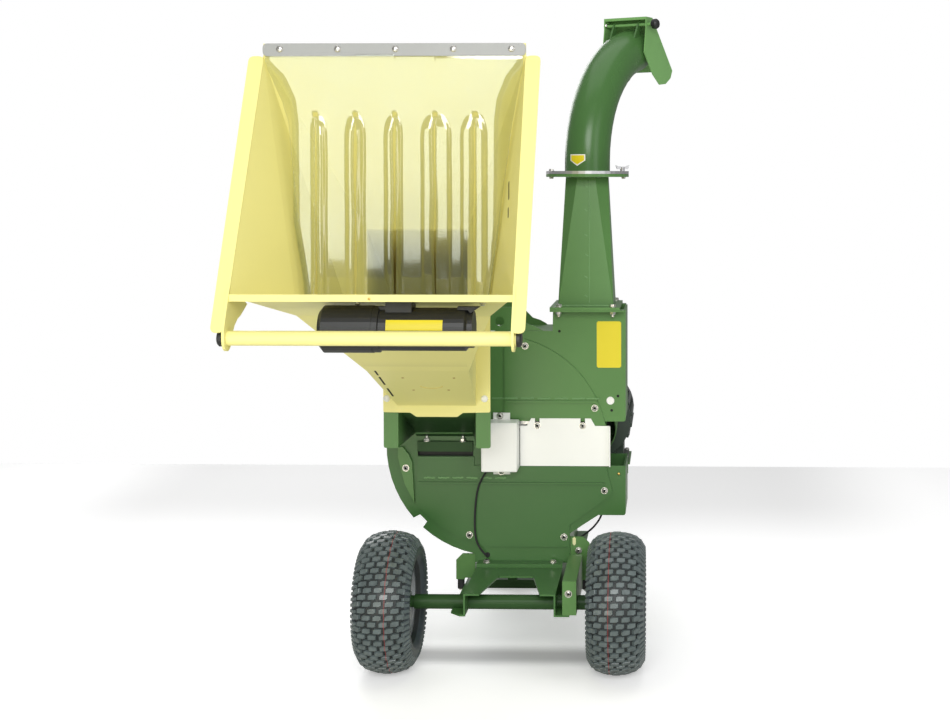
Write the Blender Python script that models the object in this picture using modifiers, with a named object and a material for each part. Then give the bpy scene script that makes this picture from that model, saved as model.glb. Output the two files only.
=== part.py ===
"""Two-wheeled garden shredder with a tall feed hopper and a swivelling discharge chute.

The machine is drawn with X across it, Y from the handle to the rear stand and Z up.
X = 0 lies halfway between the wheels, Y = 0 at the axle and Z = 0 on the ground.
At the end one empty moves everything, so that the origin is the middle of the footprint.
"""
import math

import bmesh
import bpy
from mathutils import Matrix, Vector

# Sheet metal and clearances
SHEET = 0.006
THIN_SHEET = 0.003
GAP = 0.0003
RUNNING_GAP = 0.002

# Wheels and axle
TYRE_DIAMETER = 0.406
TYRE_WIDTH = 0.165
TRACK = 0.664
RIM_DIAMETER = 0.203
RIM_WALL = 0.004
HUB_DIAMETER = 0.058
HUB_LENGTH = 0.120
AXLE_DIAMETER = 0.042
AXLE_TUBE_LENGTH = 0.520
STUB_DIAMETER = 0.025
AXLE_Z = TYRE_DIAMETER / 2
WHEEL_STEPS = 36

# Chassis: a bent plate of hat section, with a side rail and a rear stand
DECK_TOP = 0.250
DECK_MIDDLE_X = 0.0265
DECK_WIDTH = 0.265
DECK_FRONT = -0.086
DECK_REAR = 0.920
DECK_DEPTH = 0.065
TOE_WIDTH = 0.040
NOTCH_MOUTH = 0.175
NOTCH_BACK = 0.103
NOTCH_LENGTH = 0.190
RAIL_WIDTH = 0.040
RAIL_HEIGHT = 0.098
RAIL_LENGTH = 0.300
STAND_Y = 0.875
STAND_BAR = 0.030
STAND_LENGTH = 0.380
STAND_LEG = 0.030
STAND_LEG_SPACING = 0.190

# Rotor casing
ROTOR_X = -0.049
ROTOR_Z = 0.616
CASING_RADIUS = 0.340
CASING_FRONT = 0.240
CASING_DEPTH = 0.203
CASING_RIGHT = 0.351
NECK_LEFT = -0.115
NECK_RIGHT = 0.179
FOOT_THICKNESS = 0.012
LOWER_TOP = 0.557
BACK_TOP = 0.688
UPPER_BOTTOM = 0.694
UPPER_TOP = 0.973
EYE_X = -0.0377
EYE_Z = 1.0025
EYE_TOP = 1.046
EYE_DIAMETER = 0.029
NECK_TOP = 1.040
DISCHARGE_LEFT = 0.127
OPENING_LEFT = -0.292
OPENING_WIDTH = 0.172
OPENING_BOTTOM = 0.652
OPENING_HEIGHT = 0.262
RECESS_BOTTOM = 0.585
RECESS_HEIGHT = 0.047
FACE_PLATE = 0.005
LEDGE_DEPTH = 0.006
LOWER_FACE_RADIUS = 0.303
UPPER_FACE_RADIUS = 0.344

# Access cover, bearings, rotor
COVER_LEFT = 0.026
COVER_WIDTH = 0.262
COVER_TAB_LEFT = 0.060
COVER_TAB_WIDTH = 0.184
COVER_TAB_HEIGHT = 0.024
COVER_GRIP = 0.014
BOX_WIDTH = 0.110
BOX_HEIGHT = 0.150
BOX_DEPTH = 0.074
BOX_MIDDLE_X = -0.031
BOX_RISE = 0.010
BOX_TAB_WIDTH = 0.052
BOX_TAB_HEIGHT = 0.020
SHAFT_DIAMETER = 0.040
BEARING_DIAMETER = 0.064
BEARING_LENGTH = 0.036
DISC_RADIUS = 0.300
DISC_THICKNESS = 0.020
DISC_SETBACK = 0.018
PADDLE_LENGTH = 0.140
PADDLE_DEPTH = 0.120
KNIFE_LENGTH = 0.190
KNIFE_WIDTH = 0.060
KNIFE_THICKNESS = 0.010

# Infeed and hopper
INFEED_FRONT = -0.034
INFEED_INNER_LEFT = -0.301
INFEED_INNER_RIGHT = -0.075
INFEED_LEG_BOTTOM = 0.660
INFEED_TOP = 1.052
INFEED_FLOOR_FRONT = 0.782
HOPPER_X = -0.188
THROAT_FRONT = -0.354
THROAT_WIDTH = 0.268
THROAT_TOP = 1.303
THROAT_BOTTOM = 0.930
OUTLET_WIDTH = 0.222
OUTLET_TOP = 1.046
OUTLET_BOTTOM = 0.788
THROAT_FLANGE_WIDTH = 0.311
THROAT_FLANGE_BOTTOM = 0.764
THROAT_TAB_BOTTOM = 0.752
THROAT_TAB_WIDTH = 0.118
MOUTH_WIDTH = 0.646
MOUTH_TOP_Y = -0.670
MOUTH_TOP_Z = 1.741
LIP_Y = -0.964
LIP_Z = 1.180
LIP_FOLD = 0.016
BEND_Y = -0.697
BEND_Z = 1.110
BEND_WIDTH = 0.470
MOUTH_FLANGE = 0.036
MOUTH_FLANGE_LOW = 0.030
CLAMP_HEIGHT = 0.032
CLAMP_THICKNESS = 0.004
HANDLE_Y = -0.975
HANDLE_Z = 1.082
HANDLE_DIAMETER = 0.034
HANDLE_CAP_DIAMETER = 0.038
HANDLE_CAP_LENGTH = 0.012
LOBE_RADIUS = 0.0295

# Manual tube under the hopper
MANUAL_DIAMETER = 0.100
MANUAL_CAP_DIAMETER = 0.110
MANUAL_LEFT = -0.319
MANUAL_LENGTH = 0.355
MANUAL_CAP_LENGTH = 0.125
MANUAL_Y = -0.889
MANUAL_Z = 1.0945
MANUAL_WALL = 0.003
MANUAL_BRACKET_WIDTH = 0.060

# Curtain
CURTAIN_THICKNESS = 0.003
CURTAIN_LENGTH = 0.630
CURTAIN_BOTTOM_WIDTH = 0.440
CURTAIN_SLITS = 5
CURTAIN_SLIT_LENGTH = 0.440
CURTAIN_SLIT_WIDTH = 0.004

# Discharge tower and chute
TOWER_X = 0.2275
TOWER_Y = 0.347
TOWER_BASE_WIDTH = 0.172
TOWER_BASE_DEPTH = 0.190
TOWER_TOP_WIDTH = 0.132
TOWER_TOP_Z = 1.447
TOWER_FLANGE_WIDTH = 0.214
TOWER_FLANGE_FRONT = 0.195
TOWER_FLANGE_REAR = 0.470
FLANGE_THICKNESS = 0.0045
RING_DIAMETER = 0.260
RING_THICKNESS = 0.009
CHUTE_DIAMETER = 0.142
CHUTE_STRAIGHT = 0.030
CHUTE_BEND_RADIUS = 0.380
CHUTE_BEND_ANGLE = 76.0
CHUTE_HEADING = 27.0
FLAP_LENGTH = 0.219
FLAP_TILT = 41.4
FLAP_CHEEK = 0.120
FLAP_WIDTH = 0.158
FLAP_LIP = 0.009
PIVOT_DIAMETER = 0.010
EAR_SPACING = 0.090

# Drive on the back of the casing
MOTOR_X = 0.228
MOTOR_Z = 0.635
MOTOR_FRONT = 0.600
MOTOR_LENGTH = 0.270
MOTOR_RADIUS = 0.134
MOTOR_FINS = 22
FIN_DEPTH = 0.012
COWL_LENGTH = 0.080
COWL_OVERLAP = 0.008
MOTOR_SHAFT_DIAMETER = 0.038
ROTOR_PULLEY_DIAMETER = 0.160
MOTOR_PULLEY_DIAMETER = 0.130
PULLEY_WIDTH = 0.044
PULLEY_FRONT = 0.500
GROOVE_DEPTH = 0.013
GROOVE_PITCH = 0.019
GROOVE_WIDTH = 0.014
BELT_WIDTH = 0.010
BELT_HEIGHT = 0.009
GUARD_MARGIN = 0.022
GUARD_REAR = 0.575
STAND_TOP_WIDTH = 0.250
MOTOR_SHAFT_HEIGHT = 0.146
SWITCH_X = -0.100
SWITCH_Z = 0.860
SWITCH_WIDTH = 0.085
SWITCH_HEIGHT = 0.130
SWITCH_DEPTH = 0.070
BUTTON_DIAMETER = 0.026
BUTTON_TRAVEL = 0.004
GROMMET_HEIGHT = 0.0033

# Working values that several sub-parts share
CASING_REAR = CASING_FRONT + CASING_DEPTH
FACE_FRONT = CASING_FRONT - FACE_PLATE - GAP
DECK_LEFT = DECK_MIDDLE_X - DECK_WIDTH / 2
DECK_RIGHT = DECK_MIDDLE_X + DECK_WIDTH / 2
TOE_Z = DECK_TOP - DECK_DEPTH
RING_BOTTOM = TOWER_TOP_Z + GAP
RING_TOP = RING_BOTTOM + 2 * RING_THICKNESS + GAP
HEADING = Vector((math.sin(math.radians(CHUTE_HEADING)), math.cos(math.radians(CHUTE_HEADING)), 0.0))
ACROSS = Vector((HEADING.y, -HEADING.x, 0.0))
UP = Vector((0.0, 0.0, 1.0))

GREEN = ("green_enamel", (0.075, 0.190, 0.060, 1.0), 0.38, 0.0)
CREAM = ("cream_enamel", (0.880, 0.780, 0.290, 1.0), 0.42, 0.0)
WHITE = ("white_enamel", (0.800, 0.800, 0.780, 1.0), 0.40, 0.0)
ZINC = ("zinc_plate", (0.480, 0.480, 0.490, 1.0), 0.35, 1.0)
STEEL = ("bright_steel", (0.560, 0.560, 0.560, 1.0), 0.28, 1.0)
SILVER = ("silver_casting", (0.520, 0.530, 0.540, 1.0), 0.45, 0.8)
IRON = ("cast_iron", (0.060, 0.062, 0.064, 1.0), 0.60, 0.4)
BLACK = ("black_plastic", (0.022, 0.022, 0.024, 1.0), 0.45, 0.0)
RUBBER = ("black_rubber", (0.018, 0.018, 0.019, 1.0), 0.75, 0.0)
CLEAR = ("clear_pvc", (0.850, 0.880, 0.660, 1.0), 0.15, 0.0)
GREEN_BUTTON = ("green_button", (0.020, 0.340, 0.080, 1.0), 0.35, 0.0)
RED_BUTTON = ("red_button", (0.550, 0.015, 0.012, 1.0), 0.35, 0.0)


def clear_scene():
    for item in list(bpy.data.objects):
        bpy.data.objects.remove(item, do_unlink=True)


clear_scene()
machine = bpy.data.collections.new("garden_shredder")
bpy.context.scene.collection.children.link(machine)
joint_empties = {}


def body_empty(name, place):
    """The empty that carries the pieces of one moving body, on the axis of its joint."""
    empty = bpy.data.objects.new("frame_" + name, None)
    empty.location = place
    empty.empty_display_size = 0.05
    machine.objects.link(empty)
    joint_empties[name] = empty
    return empty


def surface(piece, finish_of_piece):
    """The piece's own Principled material, in one of the finishes above."""
    finish_name, colour, roughness, metallic = finish_of_piece
    material = bpy.data.materials.new(piece + "_" + finish_name)
    material.use_nodes = True
    shader = material.node_tree.nodes["Principled BSDF"]
    shader.inputs["Base Color"].default_value = colour
    shader.inputs["Roughness"].default_value = roughness
    shader.inputs["Metallic"].default_value = metallic
    material.diffuse_color = colour
    return material


def link(name, mesh):
    item = bpy.data.objects.new(name, mesh)
    machine.objects.link(item)
    return item


def bake(item):
    """Turn a curve or an object with modifiers into a plain closed mesh object."""
    bpy.context.view_layer.update()
    graph = bpy.context.evaluated_depsgraph_get()
    mesh = bpy.data.meshes.new_from_object(item.evaluated_get(graph))
    mesh.transform(item.matrix_world)
    solid = link(item.name + "_solid", mesh)
    bpy.data.objects.remove(item, do_unlink=True)
    tidy_faces(solid)
    return solid


def tidy_faces(item):
    work = bmesh.new()
    work.from_mesh(item.data)
    bmesh.ops.remove_doubles(work, verts=work.verts, dist=0.00001)
    bmesh.ops.dissolve_degenerate(work, edges=work.edges, dist=0.00001)
    bmesh.ops.recalc_face_normals(work, faces=work.faces)
    work.to_mesh(item.data)
    work.free()


def box(low, high, bevel=0.0):
    """A box between two corners, its upright and level edges bevelled if asked."""
    low, high = Vector(low), Vector(high)
    work = bmesh.new()
    bmesh.ops.create_cube(work, size=1.0)
    bmesh.ops.scale(work, vec=high - low, verts=work.verts)
    bmesh.ops.translate(work, vec=(low + high) / 2, verts=work.verts)
    mesh = bpy.data.meshes.new("box")
    work.to_mesh(mesh)
    work.free()
    item = link("box", mesh)
    if bevel:
        rounding = item.modifiers.new("Bevel", "BEVEL")
        rounding.width = bevel
        rounding.segments = 2
        rounding.limit_method = "ANGLE"
        item = bake(item)
    return item


def along(start, direction):
    """A matrix that takes +Z to the direction and the origin to the start."""
    turn = Vector(direction).to_track_quat("Z", "Y").to_matrix().to_4x4()
    return Matrix.Translation(Vector(start)) @ turn


def rod(start, end, radius, sides=16):
    start, end = Vector(start), Vector(end)
    length = (end - start).length
    work = bmesh.new()
    bmesh.ops.create_cone(
        work, cap_ends=True, segments=sides, radius1=radius, radius2=radius, depth=length
    )
    bmesh.ops.transform(work, matrix=along((start + end) / 2, end - start), verts=work.verts)
    mesh = bpy.data.meshes.new("rod")
    work.to_mesh(mesh)
    work.free()
    return link("rod", mesh)


def arc(centre, radius, start, end, steps):
    """Points on an arc, angles in degrees, both ends included."""
    points = []
    for step in range(steps + 1):
        angle = math.radians(start + (end - start) * step / steps)
        points.append((centre[0] + radius * math.cos(angle), centre[1] + radius * math.sin(angle)))
    return points


def circle(centre, radius, steps=16):
    return arc(centre, radius, 0.0, 360.0 - 360.0 / steps, steps - 1)


def round_corners(points, radius, steps=3):
    """The polygon with each corner replaced by a short arc."""
    result = []
    count = len(points)
    for index, point in enumerate(points):
        corner = Vector(point)
        before = Vector(points[index - 1]) - corner
        after = Vector(points[(index + 1) % count]) - corner
        half = before.angle(after) / 2
        reach = min(radius / math.tan(half), before.length * 0.45, after.length * 0.45)
        start = corner + before.normalized() * reach
        end = corner + after.normalized() * reach
        for step in range(steps + 1):
            share = step / steps
            first = start.lerp(corner, share)
            second = corner.lerp(end, share)
            result.append(tuple(first.lerp(second, share)))
    return result


def inset(points, distance):
    """A counter-clockwise polygon moved inwards by one distance."""
    result = []
    count = len(points)
    for index in range(count):
        here = Vector(points[index])
        before = (here - Vector(points[index - 1])).normalized()
        after = (Vector(points[(index + 1) % count]) - here).normalized()
        normal_before = Vector((-before.y, before.x))
        normal_after = Vector((-after.y, after.x))
        bisector = (normal_before + normal_after).normalized()
        reach = distance / max(bisector.dot(normal_before), 0.3)
        result.append(tuple(here + bisector * reach))
    return result


PLANES = {
    "XY": Matrix.Identity(4),
    "XZ": Matrix(((1, 0, 0, 0), (0, 0, -1, 0), (0, 1, 0, 0), (0, 0, 0, 1))),
    "YZ": Matrix(((0, 0, 1, 0), (1, 0, 0, 0), (0, 1, 0, 0), (0, 0, 0, 1))),
}
NORMALS = {"XY": Vector((0, 0, 1)), "XZ": Vector((0, 1, 0)), "YZ": Vector((1, 0, 0))}


def plate(plane, outline, start, end, holes=()):
    """A flat outline filled and given its thickness between two levels of its plane's normal."""
    curve = bpy.data.curves.new("plate", "CURVE")
    curve.dimensions = "2D"
    curve.fill_mode = "BOTH"
    curve.extrude = (end - start) / 2
    for loop in [outline, *holes]:
        spline = curve.splines.new("POLY")
        spline.points.add(len(loop) - 1)
        for spot, (u, v) in zip(spline.points, loop):
            spot.co = (u, v, 0.0, 1.0)
        spline.use_cyclic_u = True
    item = link("plate", curve)
    middle = NORMALS[plane] * (start + end) / 2
    item.matrix_world = Matrix.Translation(middle) @ PLANES[plane]
    return bake(item)


def turned(profile, start, axis, steps=32, closed=False):
    """A turned solid: (radius, height) pairs swept round the axis by a Screw modifier."""
    mesh = bpy.data.meshes.new("profile")
    edges = [(index, index + 1) for index in range(len(profile) - 1)]
    if closed:
        edges.append((len(profile) - 1, 0))
    mesh.from_pydata([(radius, 0.0, height) for radius, height in profile], edges, [])
    item = link("turned", mesh)
    screw = item.modifiers.new("Screw", "SCREW")
    screw.steps = steps
    screw.render_steps = steps
    screw.use_merge_vertices = True
    screw.merge_threshold = 0.00001
    item.matrix_world = along(start, axis)
    return bake(item)


def bar_along(points, radius, resolution=2):
    """A round bar or lead along a path, closed at both ends."""
    curve = bpy.data.curves.new("bar", "CURVE")
    curve.dimensions = "3D"
    curve.bevel_depth = radius
    curve.bevel_resolution = resolution
    curve.use_fill_caps = True
    spline = curve.splines.new("POLY")
    spline.points.add(len(points) - 1)
    for spot, place in zip(spline.points, points):
        spot.co = (*place, 1.0)
    return bake(link("bar", curve))


def smooth_path(points, count):
    """Points at even spacing on a smooth curve through a few chosen ones."""
    knots = [Vector(point) for point in points]
    knots = [knots[0] * 2 - knots[1], *knots, knots[-1] * 2 - knots[-2]]
    dense = []
    for index in range(1, len(knots) - 2):
        a, b, c, d = knots[index - 1 : index + 3]
        for step in range(12):
            t = step / 12
            spot = 2 * b + (c - a) * t + (2 * a - 5 * b + 4 * c - d) * t**2
            dense.append((spot + (3 * b - a - 3 * c + d) * t**3) / 2)
    dense.append(knots[-2])
    lengths = [0.0]
    for first, second in zip(dense, dense[1:]):
        lengths.append(lengths[-1] + (second - first).length)
    result = []
    for step in range(count):
        target = lengths[-1] * step / (count - 1)
        index = max(1, next(i for i, run in enumerate(lengths) if run >= target - 1e-9))
        run = lengths[index] - lengths[index - 1]
        share = (target - lengths[index - 1]) / run if run else 0.0
        result.append(dense[index - 1].lerp(dense[index], share))
    return result


def combine(base, tool, operation):
    change = base.modifiers.new("Boolean", "BOOLEAN")
    change.operation = operation
    change.solver = "EXACT"
    change.object = tool
    base = bake(base)
    bpy.data.objects.remove(tool, do_unlink=True)
    return base


def weld(base, *pieces):
    for piece in pieces:
        base = combine(base, piece, "UNION")
    return base


def cut(base, *tools):
    for tool in tools:
        base = combine(base, tool, "DIFFERENCE")
    return base


def finish(name, item, finish_of_piece, body="root", smooth=False):
    """Name a finished piece, give it its material and hang it on the empty of its body."""
    item.name = name
    item.data.name = name
    item.data.materials.clear()
    item.data.materials.append(surface(name, finish_of_piece))
    if smooth:
        item.data.shade_smooth()
        item.data.set_sharp_from_angle(angle=math.radians(35.0))
    if body in joint_empties:
        carrier = joint_empties[body]
        item.data.transform(Matrix.Translation(-carrier.location))
        item.parent = carrier
    else:
        item.parent = frame_root
    return item


frame_root = bpy.data.objects.new("frame_root", None)
machine.objects.link(frame_root)


# Wheels and axle


def make_wheels():
    """Block-tread tyres on two-flange steel rims that turn on the stub axles."""
    for side, name in ((-1, "left"), (1, "right")):
        middle = Vector((side * TRACK / 2, 0.0, AXLE_Z))
        body_empty("wheel_" + name, middle)
        outward = Vector((side, 0.0, 0.0))
        half = TYRE_WIDTH / 2
        outer = TYRE_DIAMETER / 2
        seat = RIM_DIAMETER / 2
        wall = 0.011
        crown = [
            (outer - 0.0035, 0.36 * half), (outer - 0.011, 0.66 * half), (outer - 0.029, 0.90 * half),
            (outer - 0.055, half), (seat + 0.0145, 0.72 * half), (seat + 0.0145, 0.595 * half),
            (seat + GAP, 0.595 * half),
        ]
        lining = [(r - wall, h * 0.84) for r, h in crown[1:4]] + [(seat + 0.020, 0.50 * half)]
        bead = (seat + GAP, 0.595 * half - 0.016)
        right_half = [*crown, bead, *reversed(lining)]
        left_half = [(r, -h) for r, h in reversed(right_half)]
        profile = [(outer, 0.0), *right_half, (outer - wall - 0.003, 0.0), *left_half]
        tyre = turned(profile, middle, outward, steps=WHEEL_STEPS, closed=True)
        finish("tyre_" + name, tyre, RUBBER, "wheel_" + name, smooth=True)

        flange_r = seat + 0.012
        flange_h = 0.60 * half + 0.006
        hub_r = HUB_DIAMETER / 2
        bore = STUB_DIAMETER / 2 + GAP
        hub_h = HUB_LENGTH / 2
        dish_h = 0.018
        profile = [
            (seat, flange_h - 0.0055), (flange_r, flange_h - 0.0055), (flange_r, flange_h),
            (seat - RIM_WALL, flange_h), (seat - RIM_WALL - 0.010, 0.022), (seat - 0.022, dish_h),
            (hub_r + 0.012, dish_h + 0.012), (hub_r, hub_h), (bore, hub_h),
            (bore, -hub_h), (hub_r, -hub_h), (hub_r + 0.012, dish_h + 0.008),
            (seat - 0.022, dish_h - 0.004), (seat - RIM_WALL - 0.010, -0.022),
            (seat - RIM_WALL, -flange_h), (flange_r, -flange_h), (flange_r, -flange_h + 0.0055),
            (seat, -flange_h + 0.0055), (seat, -0.026), (seat - 0.010, -0.018),
            (seat - 0.010, 0.018), (seat, 0.026),
        ]
        rim = turned(profile, middle, outward, steps=WHEEL_STEPS, closed=True)
        finish("rim_" + name, rim, SILVER, "wheel_" + name, smooth=True)


def make_axle():
    """A tube across the machine with a turned stub and a nut's collar at each end."""
    tube_half = AXLE_TUBE_LENGTH / 2
    inner_face = TRACK / 2 - HUB_LENGTH / 2 - RUNNING_GAP / 4
    outer_face = TRACK / 2 + HUB_LENGTH / 2 + RUNNING_GAP / 4
    radius = AXLE_DIAMETER / 2
    stub = STUB_DIAMETER / 2
    right = [
        (radius, tube_half), (stub + 0.005, tube_half), (stub + 0.005, inner_face), (stub, inner_face),
        (stub, outer_face + 0.002), (stub - 0.004, outer_face + 0.014), (0.0, outer_face + 0.014),
    ]
    left = [(r, -h) for r, h in reversed(right)]
    bar = turned([*left, *right], (0.0, 0.0, AXLE_Z), (1.0, 0.0, 0.0), steps=24)
    finish("axle", bar, GREEN, smooth=True)


# Chassis


def make_deck():
    """The bent plate under the machine: a level top, two webs and two outward toes."""
    top = plate("XY", deck_outline(), DECK_TOP - FACE_PLATE, DECK_TOP)
    section = []
    for side, edge in ((-1, DECK_LEFT), (1, DECK_RIGHT)):
        inner = edge - side * FACE_PLATE
        toe = edge + side * TOE_WIDTH
        web = [
            (inner, DECK_TOP - 0.002), (inner, TOE_Z), (toe, TOE_Z), (toe, TOE_Z + FACE_PLATE),
            (edge, TOE_Z + FACE_PLATE), (edge, DECK_TOP - 0.002),
        ]
        section.append(plate("XZ", web, DECK_FRONT, DECK_REAR))
    deck = weld(top, *section)
    corner = [
        (DECK_LEFT - TOE_WIDTH - 0.01, DECK_FRONT - 0.01),
        (DECK_LEFT - 0.001, DECK_FRONT - 0.01),
        (DECK_LEFT - TOE_WIDTH - 0.01, DECK_FRONT + TOE_WIDTH),
    ]
    snip = plate("XY", corner, TOE_Z - 0.01, TOE_Z + 0.02)
    finish("chassis_deck", cut(deck, snip, axle_bore()), GREEN)


def axle_bore():
    """What the chassis leaves free for the axle tube."""
    reach = TRACK / 2
    return rod((-reach, 0, AXLE_Z), (reach, 0, AXLE_Z), AXLE_DIAMETER / 2 + GAP, 24)


def deck_outline():
    middle = DECK_MIDDLE_X
    back = DECK_FRONT + NOTCH_LENGTH
    notch = [
        (middle - NOTCH_MOUTH / 2, DECK_FRONT), (middle - NOTCH_BACK / 2, back),
        (middle + NOTCH_BACK / 2, back), (middle + NOTCH_MOUTH / 2, DECK_FRONT),
    ]
    frame = [(DECK_RIGHT, DECK_FRONT), (DECK_RIGHT, DECK_REAR), (DECK_LEFT, DECK_REAR)]
    return [(DECK_LEFT, DECK_FRONT), *notch, *frame]


def make_side_rail():
    """The upright bar on the right-hand toe, open at the rear."""
    left = DECK_RIGHT + TOE_WIDTH - RAIL_WIDTH / 2
    bottom = TOE_Z + FACE_PLATE + GAP
    low = (left, DECK_FRONT, bottom)
    high = (left + RAIL_WIDTH, DECK_FRONT + RAIL_LENGTH, bottom + RAIL_HEIGHT)
    wall = THIN_SHEET
    hollow = box(
        (low[0] + wall, low[1] + wall, low[2] + wall), (high[0] - wall, high[1] + wall, high[2] - wall)
    )
    finish("side_rail", cut(box(low, high), hollow, axle_bore()), GREEN)


def make_rear_stand():
    """A square bar on the ground and two legs that end under the deck."""
    half = STAND_BAR / 2
    middle = DECK_MIDDLE_X
    bar = box(
        (middle - STAND_LENGTH / 2, STAND_Y - half, 0.0),
        (middle + STAND_LENGTH / 2, STAND_Y + half, STAND_BAR)
    )
    legs = []
    for side in (-1, 1):
        place = middle + side * STAND_LEG_SPACING / 2
        leg = STAND_LEG / 2
        top = DECK_TOP - FACE_PLATE - GAP
        legs.append(box((place - leg, STAND_Y - leg, half), (place + leg, STAND_Y + leg, top)))
    finish("rear_stand", weld(bar, *legs), GREEN)


def make_side_brackets():
    """A plate on each side of the casing's neck, with a rubber buffer under its foot."""
    front = CASING_FRONT + 0.008
    for side, name, wall in ((-1, "left", NECK_LEFT), (1, "right", NECK_RIGHT)):
        inner = wall + side * GAP
        outer = wall + side * 0.060
        foot = wall + side * 0.034
        top = 0.335 if side > 0 else 0.2805
        web = [
            (inner, 0.205), (inner, top), (wall + side * 0.040, top), (outer, top - 0.020), (outer, 0.205),
        ]
        plate_web = plate("XZ", web, front, front + FACE_PLATE)
        sole = box(
            (min(foot, outer), front, 0.200), (max(foot, outer), front + 0.034, 0.200 + FACE_PLATE + 0.002)
        )
        finish("side_bracket_" + name, weld(plate_web, sole), GREEN)
        centre = wall + side * 0.047
        buffer = rod((centre, front + 0.017, 0.168), (centre, front + 0.017, 0.200 - GAP), 0.011, 16)
        finish("rubber_buffer_" + name, buffer, RUBBER, smooth=True)


# Rotor casing


def casing_bottom_outline():
    """The lower casing seen from the front, counter-clockwise from the neck's foot."""
    foot = DECK_TOP + FOOT_THICKNESS / 2
    centre = (ROTOR_X, ROTOR_Z)
    start = math.degrees(math.acos((NECK_LEFT - ROTOR_X) / CASING_RADIUS))
    rim = arc(centre, CASING_RADIUS, 360.0 - start, 228.0, 5)
    rim += arc(centre, CASING_RADIUS - 0.022, 227.5, 222.0, 1)
    rim += arc(centre, CASING_RADIUS, 221.0, 173.0, 8)
    corner = round_corners(
        [(CASING_RIGHT - 0.030, 0.404), (CASING_RIGHT, 0.404), (CASING_RIGHT, 0.434)], 0.008
    )[4:8]
    right = [(NECK_RIGHT, foot), (NECK_RIGHT, 0.347), (0.266, 0.404), *corner]
    top = [(CASING_RIGHT, LOWER_TOP), (NECK_LEFT + 0.025, LOWER_TOP), (NECK_LEFT + 0.025, INFEED_LEG_BOTTOM)]
    return [(NECK_LEFT, foot), *right, *top, *reversed(rim)]


def casing_top_outline():
    """The upper casing seen from the front, counter-clockwise from its lower edge."""
    rim = arc((ROTOR_X, ROTOR_Z), CASING_RADIUS, 112.0, 172.0, 10)
    corner = round_corners(
        [(CASING_RIGHT - 0.030, UPPER_BOTTOM), (CASING_RIGHT, UPPER_BOTTOM), (CASING_RIGHT, 0.724)], 0.008
    )[4:8]
    top = [
        (CASING_RIGHT, NECK_TOP - 0.002), (DISCHARGE_LEFT, NECK_TOP - 0.002),
        (DISCHARGE_LEFT - 0.001, UPPER_TOP), (-0.050, UPPER_TOP + 0.0005),
    ]
    bottom = [(rim[-1][0], INFEED_LEG_BOTTOM + GAP), (NECK_LEFT + 0.025, INFEED_LEG_BOTTOM + GAP)]
    return [(NECK_LEFT + 0.025, UPPER_BOTTOM), *corner, *top, *rim, *bottom]


def infeed_window(start, end, grow=0.0):
    """The opening through which branches reach the disc."""
    return box(
        (OPENING_LEFT - grow, start, OPENING_BOTTOM - grow),
        (OPENING_LEFT + OPENING_WIDTH + grow, end, OPENING_BOTTOM + OPENING_HEIGHT + grow),
    )


def make_lower_casing():
    """The lower half of the rotor housing, a welded tray that is open towards the upper half."""
    outline = casing_bottom_outline()
    shell = plate("XZ", outline, CASING_FRONT, CASING_REAR)
    inner = inset(outline, SHEET)
    high = INFEED_LEG_BOTTOM + 0.05
    stretched = [(u, high if v > LOWER_TOP - 2 * SHEET else v) for u, v in inner]
    wide = [point for point in stretched if point[1] < high]
    right = [(CASING_RIGHT - SHEET, high)]
    left = [(ROTOR_X - CASING_RADIUS + SHEET, high)]
    index = next(i for i, point in enumerate(stretched) if point[1] >= high)
    cavity = plate(
        "XZ", [*wide[:index], *right, *left, *wide[index:]], CASING_FRONT + SHEET, CASING_REAR - SHEET
    )
    shell = cut(shell, cavity)
    back = box(
        (NECK_LEFT + 0.026, CASING_REAR - SHEET, LOWER_TOP - 0.020),
        (CASING_RIGHT - 0.066, CASING_REAR, BACK_TOP),
    )
    shaft = rod(
        (ROTOR_X, CASING_FRONT - 0.01, ROTOR_Z), (ROTOR_X, CASING_REAR + 0.01, ROTOR_Z),
        SHAFT_DIAMETER / 2 + RUNNING_GAP,
    )
    foot = box(
        (DECK_LEFT + 0.0005, CASING_FRONT - 0.042, DECK_TOP + GAP),
        (DECK_RIGHT - 0.0005, CASING_REAR + 0.030, DECK_TOP + FOOT_THICKNESS),
    )
    recess = box(
        (OPENING_LEFT, CASING_FRONT - 0.01, RECESS_BOTTOM),
        (OPENING_LEFT + OPENING_WIDTH, CASING_FRONT + SHEET + 0.002, RECESS_BOTTOM + RECESS_HEIGHT),
    )
    window = infeed_window(CASING_FRONT - 0.01, CASING_FRONT + SHEET + 0.01)
    finish("lower_casing", cut(weld(shell, back, foot), shaft, recess, window), GREEN)


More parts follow.
